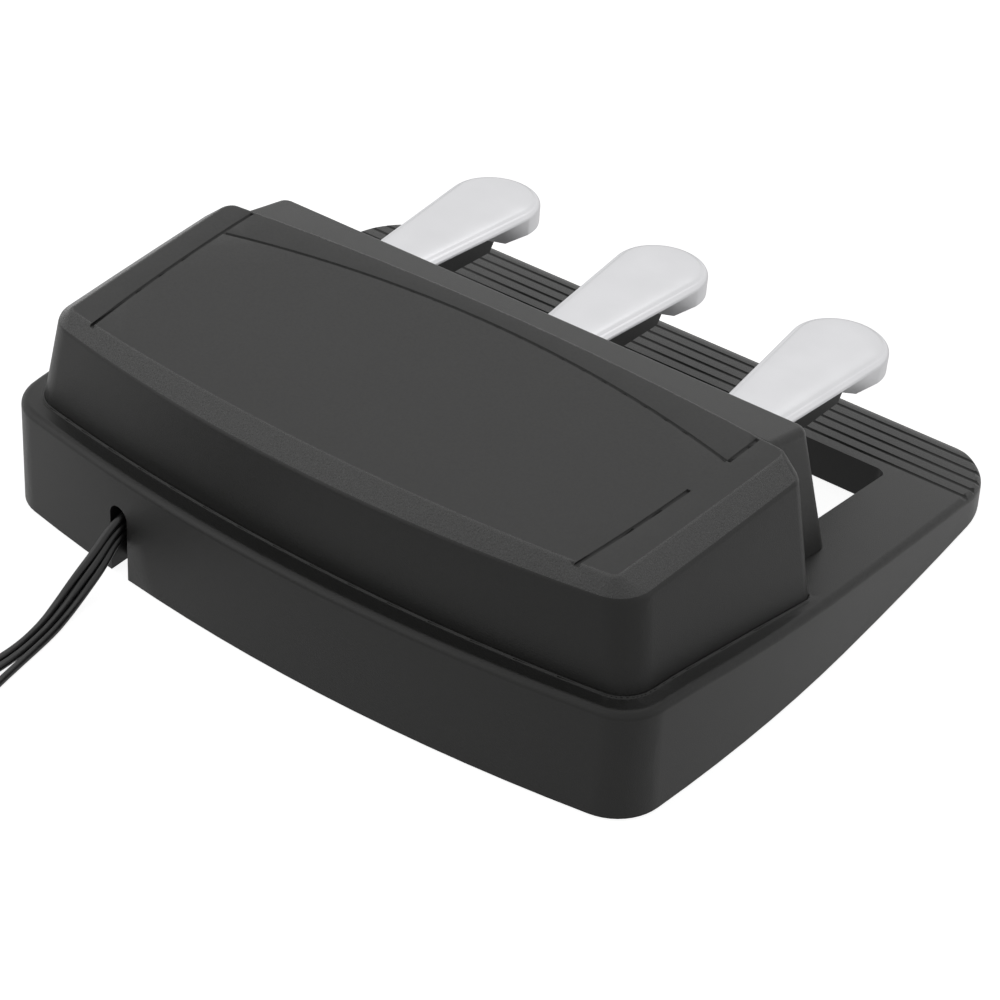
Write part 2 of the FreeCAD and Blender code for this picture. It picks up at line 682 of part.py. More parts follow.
def base_case():
    """Moulded wedge: roof, outer wall, window, ribbed bar, lip, posts and cord slot."""
    wall = size("caseWall")
    body = case_column(0, size("caseClearance"), TALL).common(under_roof(0, size("caseFront")))
    body = rounded(body, size("rimFillet"), on_rim).fuse(foot_lip())
    hollow = case_column(wall, -1, TALL).common(under_roof(wall, size("caseFront") - wall))
    keepers = [window_block(wall, -5, TALL), slot_block(0, -5, size("slotTop") + wall)]
    keepers += [upright(POST, x, y, PLATE_TOP, TALL) for x, y in CASE_POSTS]
    hollow = hollow.cut(keepers)
    cuts = [hollow, window_block(0, -5, TALL)]
    cuts += [upright(BORE, x, y, -1, PLATE_TOP + size("screwGrip") + 1) for x, y in CASE_POSTS]
    cuts += [groove_rod(index) for index in range(int(size("grooveCount")))]
    ledge = size("ledgeWidth")
    cuts.append(foot_column(ledge, BRACKET_FLOOR, TALL))
    reach = COVER_POSTS[0][0] + POST + 2
    front, rear = -size("bracketFront") - 1, size("houseFront") + 3 * ledge
    cuts.append(box(-reach, reach, front, rear, BRACKET_FLOOR, TALL))
    half = size("slotWidth") / 2
    arch = size("slotTop") - half
    slot_x = size("slotCentre")
    cuts.append(box(slot_x - half, slot_x + half, size("clampPlace"), size("caseRear") + 5, -1, arch))
    arch_ends = [Vector(slot_x, y, arch) for y in (size("clampPlace"), size("caseRear") + 5)]
    cuts.append(rod(half, *arch_ends))
    return body.cut(cuts)


feature("base_case", base_case())


# Main housing

def house_solid(inset, drop):
    """Housing walls and roof, drawn in by inset with the roof lowered by drop."""
    edge = size("edgeHeight")
    rounding = size("houseEdge")
    shoulder = 0.4 * drop
    sections = [
        house_outline(HOUSE_LOW, inset),
        house_outline(edge - 0.6 * rounding, inset, shoulder),
        house_outline(edge + 0.4 * rounding, inset, shoulder),
        house_outline(PANEL_LEVEL, inset, drop),
    ]
    columns = [column(low, high) for low, high in zip(sections, sections[1:])]
    return columns[0].fuse(columns[1:]).removeSplitter()


def on_panel_edge(edge):
    """True for the edge of the top panel."""
    return abs(middle(edge).z - PANEL_LEVEL) < 0.1


def engraved_line(centre, radius, x_range, y_range):
    """Cutter for an engraved arc, kept within a rectangle in plan."""
    level = PANEL_LEVEL
    low = level - size("lineDepth")
    half = size("lineWidth") / 2
    ring = upright(radius + half, centre.x, centre.y, low, level + 2)
    ring = ring.cut(upright(radius - half, centre.x, centre.y, low - 1, level + 3))
    return ring.common(box(x_range[0], x_range[1], y_range[0], y_range[1], low, level + 2))


def engraved_lines():
    """Cutters for the arc and the two side lines of the top panel; the left one has a break."""
    bulge = size("lineBulge")
    reach = size("lineReach")
    centre = Vector(0, size("lineMiddle") + bulge, 0)
    tools = [engraved_line(centre, bulge, (-reach, reach), (0, size("lineRear")))]
    right = Wall(size("lineHalf"), size("lineSide"), size("lineTaper"), size("lineSideBulge"))
    left = right.mirrored()
    far = size("caseWidth") / 2
    front, rear = size("lineFront"), size("lineRear")
    tools.append(engraved_line(right.centre, right.radius, (0, far), (front, rear)))
    for ends in ((front, size("lineBreakFront")), (size("lineBreakRear"), rear)):
        tools.append(engraved_line(left.centre, left.radius, (-far, 0), ends))
    return tools


def main_housing():
    """Moulded housing, open below, with its two screw posts."""
    body = rounded(house_solid(0, 0), size("panelEdge"), on_panel_edge)
    shell = body.cut(house_solid(size("houseWall"), size("houseWall")))
    inside = house_solid(size("houseWall") / 2, size("houseWall") / 2)
    low = PLATE_TOP + size("seatGap")
    posts = [upright(POST, x, y, low, PANEL_LEVEL).common(inside) for x, y in HOUSE_POSTS]
    seat = under_roof(-size("seatGap"), size("caseFront") + 1)
    half = size("houseOpening") / 2
    reach = size("houseFront") + 3 * size("ledgeWidth")
    front = box(-half, half, 0, reach, 0, size("houseLip"))
    shell = shell.cut([seat, front] + engraved_lines()).fuse(posts)
    bores = [upright(BORE, x, y, 0, PLATE_TOP + size("screwGrip") + 1) for x, y in HOUSE_POSTS]
    return shell.cut(bores)


feature("main_housing", main_housing())


# Front cover

def cover_top(y):
    """Height of the sloping top of the front cover."""
    slope = math.tan(math.radians(size("coverSlope")))
    return size("coverFrontHeight") + slope * (y + size("coverTopFront"))


def cover_solid(inset):
    """Front cover, drawn in by inset."""
    body = column(cover_outline(size("rimFront"), inset), cover_outline(1.1 * PANEL_LEVEL, inset))
    front = -2 * size("coverFootFront")
    back = -front
    side = [(front, 0), (front, cover_top(front) - inset), (back, cover_top(back) - inset), (back, 0)]
    return body.common(along_x(profile(side), size("caseWidth") / 2))


def on_cover_edge(edge):
    """True for the cover's top edges at its front and sides."""
    point = middle(edge)
    return abs(point.z - cover_top(point.y)) < 0.4 and point.y < 2 * size("houseFront")


def front_cover():
    """Hood that the pedals come out of."""
    body = rounded(cover_solid(0), size("coverEdge"), on_cover_edge)
    shell = body.cut(cover_solid(size("houseWall")))
    bulge = size("houseFrontBulge")
    behind = upright(bulge + size("seatGap"), 0, size("houseFront") + bulge, 0, 2 * PANEL_LEVEL)
    half = size("pedalOpening") / 2
    openings = [
        box(x - half, x + half, -size("coverFootFront") - 10, 0, size("openingLow"), size("openingHigh"))
        for name, x in pedal_places()
    ]
    seat = under_roof(-size("seatGap"), size("caseFront") + 1)
    shell = shell.cut([behind, seat] + openings)
    top = size("coverFrontHeight") - 1
    posts = [upright(POST, x, y, PLATE_TOP + size("seatGap"), top) for x, y in COVER_POSTS]
    bores = [upright(BORE, x, y, 0, PLATE_TOP + size("screwGrip") + 1) for x, y in COVER_POSTS]
    return shell.fuse(posts).cut(bores)


feature("front_cover", front_cover())

# Pedals. A blade is drawn flat, with its upper face at zero, and then set on its slope.

def blade_placement(x):
    """Placement of a blade and of what is bored square to it."""
    slope = math.radians(size("bladeSlope"))
    height = size("bladeHeight") + size("bladeDatum") * math.tan(slope)
    return FreeCAD.Placement(Vector(x, 0, height), FreeCAD.Rotation(Vector(1, 0, 0), size("bladeSlope")))


def blade_outline(inset, rear, height):
    """Teardrop: a round head and a neck that narrows to the rear."""
    radius = size("headRadius") - inset
    half = size("neckHalf") - inset
    head = Vector(0, -size("headCentre"), height)
    reach = size("headCentre") - size("neckPlace")
    # A line through (half, reach) that touches the head: its lean from the middle line
    span = math.hypot(half, reach)
    lean = math.asin(radius / span) - math.atan2(half, reach)
    touch = Vector(radius * math.cos(lean), radius * math.sin(lean), 0)
    run = (size("headCentre") - rear - touch.y) / math.cos(lean)
    end = head + touch + Vector(-math.sin(lean), math.cos(lean), 0) * run
    right = head + touch
    left = Vector(-right.x, right.y, height)
    edges = [
        Part.Arc(left, head - Vector(0, radius, 0), right).toShape(),
        Part.makeLine(right, end),
        Part.makeLine(end, Vector(-end.x, end.y, height)),
        Part.makeLine(Vector(-end.x, end.y, height), left),
    ]
    return Part.Wire(edges)


def blade_plate(inset, rear, top, bottom):
    """Solid of the teardrop between two levels."""
    return Part.Face(blade_outline(inset, rear, top)).extrude(Vector(0, 0, bottom - top))


def on_blade_edge(edge):
    """True for the upper edge of a blade, apart from its end inside the cover."""
    point = middle(edge)
    return abs(point.z) < 0.01 and point.y < 0


def blade():
    """Metal blade with a skirt round its head."""
    depth = size("skirtDepth")
    plate = size("bladeThickness")
    body = blade_plate(0, -size("bladeRear"), 0, -depth)
    body = rounded(body, size("bladeEdge"), on_blade_edge)
    inside = blade_plate(size("skirtWall"), -size("bladeRear") - 5, -plate, -depth - 1)
    wide = size("pedalPitch")
    neck = box(-wide, wide, -size("skirtEnd"), wide, -depth - 1, -plate)
    bore = upright(BORE, 0, BLADE_SCREW, -plate - 1, 1)
    return body.cut([inside, neck, bore])


BLADE_SCREW = 2.0
BOSS_Y = size("pivotPlace")
BOSS_Z = size("pivotHeight")


def blade_under(y):
    """Height of a blade's underside."""
    slope = math.tan(math.radians(size("bladeSlope")))
    return size("bladeHeight") + slope * (size("bladeDatum") + y) - size("bladeThickness") - 0.01


def lever_top():
    """Top of a lever where it meets the upper stop."""
    return blade_under(size("bladeRear")) + size("leverStep")


def lever(x):
    """Moulded lever: beam under the blade, boss on the shaft and pin for the sensor."""
    half = size("leverWidth") / 2
    front = -size("leverFront")
    floor = size("leverFloor")
    blade_end = size("bladeRear") + 0.5
    boss = size("bossRadius")
    side = [
        (front, blade_under(front) - 6),
        (front, blade_under(front)),
        (blade_end, blade_under(blade_end)),
        (blade_end, lever_top()),
        (BOSS_Y - boss, lever_top()),
        (BOSS_Y, BOSS_Z + boss),
        (BOSS_Y, BOSS_Z - boss),
        (BOSS_Y - boss, floor),
        (-size("bracketFront"), floor),
        (front / 2, size("leverMiddle")),
        (front + 5, size("leverNose")),
    ]
    beam = profile(side)
    beam.translate(Vector(-half, 0, 0))
    body = beam.extrude(Vector(2 * half, 0, 0))
    pin_y = BOSS_Y + size("sensorStep")
    pin = size("pinDiameter") / 2
    pin_end = size("armOffset") + size("armThickness")
    body = body.fuse([
        rod(boss, Vector(-half, BOSS_Y, BOSS_Z), Vector(half, BOSS_Y, BOSS_Z)),
        box(0, half, BOSS_Y, pin_y + 2 * pin, BOSS_Z - 2 * pin, BOSS_Z + 2 * pin),
        rod(pin, Vector(half - 1, pin_y, BOSS_Z), Vector(pin_end, pin_y, BOSS_Z)),
    ])
    bush = size("bushDiameter") / 2
    hole = rod(bush, Vector(-half - 1, BOSS_Y, BOSS_Z), Vector(half + 1, BOSS_Y, BOSS_Z))
    thread = upright(BORE, 0, BLADE_SCREW, -size("bladeThickness") - size("screwGrip") - 1, 1)
    thread.Placement = blade_placement(0)
    body = body.cut([hole, thread])
    body.translate(Vector(x, 0, 0))
    return body


def sensor_arm(x):
    """Arm whose fork follows the lever's pin and whose stub turns in the sensor."""
    thick = size("armThickness") / 2
    pin_y = BOSS_Y + size("sensorStep")
    axis_y = pin_y + size("sensorStep")
    hub = size("hubDiameter") / 2
    gap = size("pinDiameter") / 2 + size("forkGap")
    offset = x + size("armOffset")
    reach = size("pinDiameter") + size("forkWall") / 2
    body = rod(hub, Vector(offset - thick, axis_y, BOSS_Z), Vector(offset + thick, axis_y, BOSS_Z))
    half = gap + size("forkWall")
    stub_end = offset + thick + size("stubLength")
    body = body.fuse([
        box(offset - thick, offset + thick, pin_y - reach, axis_y, BOSS_Z - half, BOSS_Z + half),
        rod(size("stubDiameter") / 2, Vector(offset, axis_y, BOSS_Z), Vector(stub_end, axis_y, BOSS_Z)),
    ])
    fork_end = pin_y + gap + size("forkWall") / 2
    wide = 2 * thick
    fork = box(offset - wide, offset + wide, pin_y - 2 * reach, fork_end, BOSS_Z - gap, BOSS_Z + gap)
    return body.cut(fork)


def half_turns(points):
    """Path of half circles from point to point, all leaving and arriving square to the X axis."""
    edges = []
    for index in range(len(points) - 1):
        start, end = points[index], points[index + 1]
        side = 1 if index % 2 == 0 else -1
        mid = (start + end) / 2 + Vector(0, side * (end - start).Length / 2, 0)
        edges.append(Part.Arc(start, mid, end).toShape())
    return edges


def tube(edges, diameter):
    """One unbroken tube along a path."""
    path = Part.Wire(edges)
    start = path.Edges[0].valueAt(path.Edges[0].FirstParameter)
    along = path.Edges[0].tangentAt(path.Edges[0].FirstParameter)
    ring = Part.Wire(Part.makeCircle(diameter / 2, start, along))
    return path.makePipeShell([ring], True, False)


def spring(x):
    """Return spring between the bracket's floor and a lever."""
    wire = size("springWire")
    low = BRACKET_FLOOR + wire / 2 + size("runningGap")
    high = size("leverFloor") - wire / 2 - size("stopGap")
    count = int((high - low) / (size("springPitch") / 2))
    rise = (high - low) / count
    points = []
    for index in range(count + 1):
        side = 1 if index % 2 == 0 else -1
        points.append(Vector(side * size("springRadius"), 0, low + rise * index))
    shape = tube(half_turns(points), wire)
    shape.translate(Vector(x, size("springPlace"), 0))
    return shape


for name, x in pedal_places():
    plate = feature("blade_" + name, blade())
    plate.Placement = blade_placement(x)
    feature("lever_" + name, lever(x))
    feature("spring_" + name, spring(x))
    feature("sensor_arm_" + name, sensor_arm(x))


# Shaft, bushes and clips

half_shaft = EAR_OUTER + size("earThickness") / 2 + size("shaftOverhang")
shaft_length = "2 * (" + EAR_CELL + " + Sizes.earThickness / 2 + Sizes.shaftOverhang)"
SIDEWAYS = Vector(1, 0, 0)
shaft_start = at(-half_shaft, BOSS_Y, BOSS_Z, SIDEWAYS)
keep("pivot_shaft", cylinder("pivot_shaft", "shaftDiameter", shaft_length, shaft_start))

bush_bore = "Sizes.shaftDiameter / 2 + Sizes.runningGap"
bush_outside = "Sizes.bushDiameter / 2 - Sizes.runningGap"
bush_half = "Sizes.leverWidth / 2"
for name, x in pedal_places():
    turned_body("bush_" + name, [
        (bush_bore, "-1 * " + bush_half),
        (bush_outside, "-1 * " + bush_half),
        (bush_outside, bush_half),
        (bush_bore, bush_half),
    ], at(x, BOSS_Y, BOSS_Z, SIDEWAYS))

for name, side in (("left", -1), ("right", 1)):
    face = side * (EAR_OUTER + size("earThickness") / 2 + size("clipGap"))
    turned_body("shaft_clip_" + name, [
        ("Sizes.shaftDiameter / 2 + Sizes.runningGap", "0"),
        ("Sizes.shaftDiameter / 2 + Sizes.clipWidth", "0"),
        ("Sizes.shaftDiameter / 2 + Sizes.clipWidth", "Sizes.earThickness / 2"),
        ("Sizes.shaftDiameter / 2 + Sizes.runningGap", "Sizes.earThickness / 2"),
    ], at(face, BOSS_Y, BOSS_Z, SIDEWAYS * side))


# Bottom plate, feet and pivot bracket

def hole(x, y, low, high):
    """Clearance hole for a screw."""
    return upright(BORE + 0.2, x, y, low, high)


CLAMP_SCREW = (size("slotCentre"), size("clampPlace"))
BOARD_SCREWS = both_sides([(50.0, size("shelfRear") - 3.5)])


def bottom_plate():
    """Steel plate that closes the case from below, open at the window."""
    inset = size("caseWall") + size("plateGap")
    low = size("plateHeight")
    plate = case_column(inset, low, PLATE_TOP).common(under_roof(inset, size("caseFront") - inset))
    cuts = [window_block(inset, low - 1, PLATE_TOP + 1)]
    cuts.append(slot_block(size("plateGap"), low - 1, PLATE_TOP + 1))
    for x, y in CASE_POSTS + HOUSE_POSTS + COVER_POSTS + BRACKET_SCREWS + [CLAMP_SCREW]:
        cuts.append(hole(x, y, low - 1, PLATE_TOP + 1))
    return plate.cut(cuts)


feature("bottom_plate", bottom_plate())

for index, (x, y) in enumerate(FEET, start=1):
    name = "foot_%d" % index
    keep(name, cylinder(name, "footPadDiameter", "Sizes.plateHeight", at(x, y, 0)))


def lowered(y, z):
    """Height of a point of a lever when its pedal is fully down."""
    turn = math.radians(size("pedalTravel"))
    return BOSS_Z + (y - BOSS_Y) * math.sin(turn) + (z - BOSS_Z) * math.cos(turn)


STOP_TOP = lowered(-size("bracketFront"), size("leverFloor")) - size("stopGap")
STOP_HALF = size("pedalPitch") + size("leverWidth") / 2 + size("stopOverhang")
BRIDGE = lever_top() + size("stopGap") + size("stopThickness")


def pivot_bracket():
    """Folded steel bracket: floor, stop flange, sensor shelf, four ears and the bridge over the levers."""
    sheet_metal = size("steelSheet")
    front = -size("bracketFront")
    rear = size("bracketRear")
    shelf = size("shelfHeight")
    outer = EAR_OUTER + size("earThickness") / 2
    flange = STOP_TOP - size("stopThickness")
    shelf_half = size("shelfHalf")
    ear_front = BOSS_Y - size("earFront")
    ear_rear = BOSS_Y + size("earRear")
    parts = [
        box(-STOP_HALF, STOP_HALF, front, front + sheet_metal, PLATE_TOP, flange),
        box(-STOP_HALF, STOP_HALF, front, 0, flange - sheet_metal, flange),
        box(-outer, outer, ear_front, rear, PLATE_TOP, BRACKET_FLOOR),
        box(-shelf_half, shelf_half, rear - sheet_metal, rear, PLATE_TOP, shelf),
        box(-shelf_half, shelf_half, rear - sheet_metal, size("shelfRear"), shelf - sheet_metal, shelf),
        box(-outer, outer, size("bridgeFront"), size("bridgeRear"), BRIDGE, BRIDGE + sheet_metal),
    ]
    ear = profile([
        (ear_front, PLATE_TOP),
        (ear_rear, PLATE_TOP),
        (ear_rear, BRIDGE - 2 * sheet_metal),
        (ear_rear - 3 * sheet_metal, BRIDGE + sheet_metal),
        (size("bridgeFront"), BRIDGE + sheet_metal),
        (size("bridgeFront"), BRIDGE),
        (size("bridgeRear"), BRIDGE),
        (ear_front, BRIDGE - 6 * sheet_metal),
    ])
    thick = size("earThickness")
    for x in (-EAR_OUTER, -size("pedalPitch") / 2, size("pedalPitch") / 2, EAR_OUTER):
        plate = ear.copy()
        plate.translate(Vector(x - thick / 2, 0, 0))
        parts.append(plate.extrude(Vector(thick, 0, 0)))
    body = box(-STOP_HALF, STOP_HALF, front, ear_front, PLATE_TOP, BRACKET_FLOOR).fuse(parts)
    reach = outer + 1
    radius = size("shaftDiameter") / 2 + size("runningGap")
    cuts = [rod(radius, Vector(-reach, BOSS_Y, BOSS_Z), Vector(reach, BOSS_Y, BOSS_Z))]
    cuts += [upright(BORE, x, y, 0, BRACKET_FLOOR + 1) for x, y in BRACKET_SCREWS]
    cuts += [upright(BORE, x, y, shelf - 5, shelf + 1) for x, y in BOARD_SCREWS]
    return body.cut(cuts).removeSplitter()


feature("pivot_bracket", pivot_bracket())


# Stops, circuit board and sensors

def strip(name, low, front, depth):
    """Strip across the unit on its seat; depth is the expression for the seat's depth."""
    block = primitive("Box", name, {
        "Length": "2 * Sizes.pedalPitch + Sizes.leverWidth + 2 * Sizes.stopOverhang",
        "Width": "%s - 2 * Sizes.stopMargin" % depth,
        "Height": "Sizes.stopThickness",
    }, at(-STOP_HALF, front + size("stopMargin"), low))
    return keep(name, block)


strip("lower_stop", STOP_TOP - size("stopThickness"), -size("bracketFront"), "Sizes.bracketFront")
bridge_depth = "(Sizes.bridgeRear - Sizes.bridgeFront)"
strip("upper_stop", BRIDGE - size("stopThickness"), size("bridgeFront"), bridge_depth)

SENSOR_Y = BOSS_Y + 2 * size("sensorStep")
BOARD_TOP = size("shelfHeight") + size("boardThickness")


def circuit_board():
    """Board on the bracket's shelf."""
    half = size("shelfHalf") + size("boardOverhang")
    margin = size("boardMargin")
    front, rear = size("bracketRear") + margin, size("shelfRear") + margin
    board = box(-half, half, front, rear, size("shelfHeight"), BOARD_TOP)
    return board.cut([upright(BORE, x, y, 0, BOARD_TOP + 1) for x, y in BOARD_SCREWS])


def sensor_pot(x):
    """Rotary sensor on the board, bored for the stub of its arm."""
    face = x + size("armOffset") + size("armThickness") / 2 + size("stopGap")
    side = size("potSide") / 2
    block = box(face, face + size("potWidth"), SENSOR_Y - side, SENSOR_Y + side, BOARD_TOP, BOSS_Z + side)
    radius = size("stubDiameter") / 2 + size("runningGap")
    reach = face + size("stubLength")
    return block.cut(rod(radius, Vector(face - 1, SENSOR_Y, BOSS_Z), Vector(reach, SENSOR_Y, BOSS_Z)))


feature("circuit_board", circuit_board())
for name, x in pedal_places():
    feature("sensor_" + name, sensor_pot(x))


# Screws

def screw(name, x, y, seat, length, downward=False):
    """Pan-head screw; its head bears on the seat height."""
    flip = -1 if downward else 1
    axis = Vector(0, 0, flip)
    head = cylinder(name + "_head", "screwHead", "Sizes.screwHeadHeight", at(x, y, seat, axis * -1))
    shank = cylinder(name + "_shank", "screwDiameter", length, at(x, y, seat, axis))
    return keep(name, joined("Fuse", name, head, shank))


UNDER = size("plateHeight")
into_post = "Sizes.plateThickness + Sizes.screwGrip"
for index, (x, y) in enumerate(CASE_POSTS, start=1):
    screw("plate_screw_%d" % index, x, y, UNDER, into_post)
for index, (x, y) in enumerate(HOUSE_POSTS, start=1):
    screw("housing_screw_%d" % index, x, y, UNDER, into_post)
for index, (x, y) in enumerate(COVER_POSTS, start=1):
    screw("cover_screw_%d" % index, x, y, UNDER, into_post)
for index, (x, y) in enumerate(BRACKET_SCREWS, start=1):
    screw("bracket_screw_%d" % index, x, y, UNDER, "Sizes.plateThickness + Sizes.steelSheet + 2")
for index, (x, y) in enumerate(BOARD_SCREWS, start=1):
    screw("board_screw_%d" % index, x, y, BOARD_TOP, "Sizes.boardThickness + Sizes.steelSheet + 1", True)
screw("clamp_screw", CLAMP_SCREW[0], CLAMP_SCREW[1], UNDER, "Sizes.plateThickness + Sizes.screwGrip")
for name, x in pedal_places():
    place = blade_placement(x).multiply(at(0, BLADE_SCREW, 0))
    thing = screw("blade_screw_" + name, 0, 0, 0, "Sizes.bladeThickness + Sizes.screwGrip", True)
    thing.Placement = place


# Cords: clamp, free stretches, coils and plugs

CORD_NAMES = ("right", "middle", "left")
CLAMP_HEIGHTS = [size("cordMiddle") + step * size("cordRiseStep") for step in (1, 0, -1)]


def cable_clamp():
    """Block that grips the three cords behind the slot."""
    x, y = CLAMP_SCREW
    across = size("clampWidth") / 2
    along = size("clampDepth") / 2
    body = box(x - across, x + across, y - along, y + along, PLATE_TOP, size("clampTop"))
    radius = size("cordDiameter") / 2 + size("runningGap")
    cuts = [rod(radius, Vector(x, y - along - 1, z), Vector(x, y + along + 1, z)) for z in CLAMP_HEIGHTS]
    cuts.append(upright(BORE, x, y, 0, PLATE_TOP + size("screwGrip") + 1))
    return body.cut(cuts)


feature("cable_clamp", cable_clamp())

# Route of each cord from the clamp to its coil, chosen by hand
ROUTES = {
    "right": [
        (78.0, 109, 27.0), (78.0, 123, 27.0), (79.2, 134.5, 25.4), (81.8, 143, 16.6), (83.1, 152.5, 9.2),
        (81.7, 163, 4.2), (79.1, 174, 1.5), (76.9, 190, 1.5), (78.5, 206, 1.5), (87, 221, 1.5),
        (101, 232, 1.5), (117, 237, 1.5),
    ],
    "middle": [
        (78.0, 109, 23.0), (78.0, 123, 23.0), (78.4, 134.5, 21.4), (79.0, 143, 13.4), (79.7, 152.5, 6.9),
        (78.3, 163, 2.9), (75.8, 174, 1.5), (73.5, 190, 1.5), (74.3, 208, 1.5), (78, 228, 1.5),
        (83, 247, 1.5), (86, 266, 1.5), (86, 284, 1.5),
    ],
    "left": [
        (78.0, 109, 19.0), (78.0, 123, 19.0), (77.4, 134.5, 17.6), (76.2, 143, 10.2), (76.3, 152.5, 4.6),
        (74.9, 163, 1.9), (72.5, 174, 1.5), (70.2, 190, 1.5), (67.8, 208, 1.5), (63, 228, 1.5),
        (57, 247, 1.5), (54, 266, 1.5), (54, 284, 1.5),
    ],
}


def rounded_path(name, points):
    """Straight runs joined by tangent arcs as large as the runs allow."""
    edges = []
    radii = []
    last = points[0]
    for index in range(1, len(points) - 1):
        before, here, after = points[index - 1], points[index], points[index + 1]
        incoming = (here - before).normalize()
        outgoing = (after - here).normalize()
        run = min((here - before).Length, (after - here).Length)
        turn = incoming.getAngle(outgoing)
        trim = 0.45 * run
        radii.append(trim / math.tan(turn / 2))
        start = here - incoming * trim
        end = here + outgoing * trim
        depth = radii[-1] * (1 / math.cos(turn / 2) - 1)
        mid = here + (outgoing - incoming).normalize() * depth
        edges.append(Part.makeLine(last, start))
        edges.append(Part.Arc(start, mid, end).toShape())
        last = end
    edges.append(Part.makeLine(last, points[-1]))
    print(name, "radii", [round(radius, 1) for radius in radii])
    return edges


def coil_path(turn_side):
    """Half circles of a coil in four layers; its last half turn comes down beside the others."""
    outermost = size("coilOuter")
    step = size("coilStep") / 2
    per_layer = int(2 * size("coilTurns"))
    reaches = []
    layers = []
    for layer in range(4):
        inward = [outermost - step * index for index in range(per_layer + 1)]
        reaches += inward if layer % 2 == 0 else inward[::-1]
        layers += [layer] * (per_layer + 1)
    low = size("cordDiameter") / 2
    points = []
    for index, (reach, layer) in enumerate(zip(reaches, layers)):
        side = 1 if index % 2 == 0 else -1
        points.append(Vector(turn_side * side * reach, 0, low + layer * size("coilLayer")))
    points.append(Vector(turn_side * (outermost + size("plugStep")), 0, size("plugRest")))
    lead = size("cordDiameter")
    edges = [Part.makeLine(points[0] - Vector(0, lead, 0), points[0])]
    edges += half_turns(points)
    edges.append(Part.makeLine(points[-1], points[-1] + Vector(0, lead, 0)))
    return edges


def least_gap(edges, diameter):
    """Least gap between parts of a tube that aren't neighbours along it."""
    samples = []
    travelled = 0.0
    for edge in edges:
        count = max(int(edge.Length / 1.5), 2)
        for point in edge.discretize(count)[:-1]:
            samples.append((travelled, point))
            travelled += edge.Length / (count - 1)
    least = 1000.0
    for index, (far, point) in enumerate(samples):
        for other_far, other in samples[index + 1:]:
            if other_far - far > 5 * diameter:
                least = min(least, (other - point).Length)
    return least - diameter


COIL_SIDES = {"right": -1, "middle": -1, "left": 1}
diameter = size("cordDiameter")
for name in CORD_NAMES:
    points = [Vector(*point) for point in ROUTES[name]]
    lead = diameter
    feature("cord_" + name, tube(rounded_path(name, points), diameter))
    side = COIL_SIDES[name]
    heading = (points[-1] - points[-2]).normalize()
    turn = math.degrees(math.atan2(heading.y, heading.x)) - 90
    # The coil's path enters at (side * outer, -lead) heading along +Y
    swing = FreeCAD.Rotation(Vector(0, 0, 1), turn)
    entry = swing.multVec(Vector(side * size("coilOuter"), -lead, 0))
    place = FreeCAD.Placement(Vector(points[-1].x, points[-1].y, 0) - entry, swing)
    path = coil_path(side)
    coil_length = sum(e.Length for e in path)
    print("coil", name, "gap", round(least_gap(path, diameter), 2), "length", round(coil_length))
    coil = tube(path, diameter)
    coil.Placement = place
    feature("coil_" + name, coil)
    tip = place.multVec(Vector(side * (size("coilOuter") + size("plugStep")), lead, size("plugRest")))
    away = swing.multVec(Vector(0, 1, 0))
    shaft = "Sizes.plugShaft / 2"
    body_end = "Sizes.plugBody"
    tip_end = "Sizes.plugBody + Sizes.plugReach"
    turned_body("plug_" + name, [
        ("0", "0"),
        ("Sizes.plugRest * 0.6", "0"),
        ("Sizes.plugRest - 0.02", "Sizes.plugBody * 0.35"),
        ("Sizes.plugRest - 0.02", body_end),
        (shaft, body_end),
        (shaft, tip_end + " - 6"),
        ("Sizes.plugShaft * 0.32", tip_end + " - 4.5"),
        (shaft, tip_end + " - 3"),
        ("0", tip_end),
    ], at(tip.x, tip.y, tip.z, away))


doc.recompute()
os.makedirs("parts", exist_ok=True)
for thing in doc.Objects:
    if "Invalid" in thing.State or "Error" in thing.State:
        raise RuntimeError("%s is %s" % (thing.Label, thing.State))
for thing in NODES:
    shape = thing.Shape
    if shape.isNull() or not shape.isValid():
        raise RuntimeError("%s has no valid shape" % thing.Label)
for thing in NODES:
    thing.Shape.exportStep("parts/" + thing.Label + ".step")
print(len(NODES), "sub-parts")
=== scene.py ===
import json
import math

import bmesh
import bpy
from mathutils import Matrix, Vector


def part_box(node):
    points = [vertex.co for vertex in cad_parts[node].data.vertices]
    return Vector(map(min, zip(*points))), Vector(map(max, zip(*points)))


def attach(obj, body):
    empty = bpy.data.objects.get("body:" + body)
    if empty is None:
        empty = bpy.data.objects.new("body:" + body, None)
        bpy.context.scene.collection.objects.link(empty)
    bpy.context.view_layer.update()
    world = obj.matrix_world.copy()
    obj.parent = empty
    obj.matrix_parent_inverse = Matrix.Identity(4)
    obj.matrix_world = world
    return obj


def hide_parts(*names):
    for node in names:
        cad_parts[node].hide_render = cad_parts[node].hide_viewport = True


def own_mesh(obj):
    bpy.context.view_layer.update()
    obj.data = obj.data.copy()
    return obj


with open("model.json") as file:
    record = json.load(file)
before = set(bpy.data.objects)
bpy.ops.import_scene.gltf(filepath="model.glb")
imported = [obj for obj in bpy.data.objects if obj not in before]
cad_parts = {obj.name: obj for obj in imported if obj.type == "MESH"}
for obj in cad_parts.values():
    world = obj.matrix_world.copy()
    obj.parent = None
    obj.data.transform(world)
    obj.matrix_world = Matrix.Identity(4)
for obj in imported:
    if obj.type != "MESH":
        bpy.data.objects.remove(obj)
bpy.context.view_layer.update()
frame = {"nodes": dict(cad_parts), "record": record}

MM = 0.001
SIDES = ("left", "centre", "right")

# Slack in metres: for joined triangles, for places on a line, and for cuts through small pieces
JOIN_SLACK = 2e-6
PLACE_SLACK = 1e-6
CUT_SLACK = 1e-7


# Camera: where the photograph was taken from, in metres and degrees

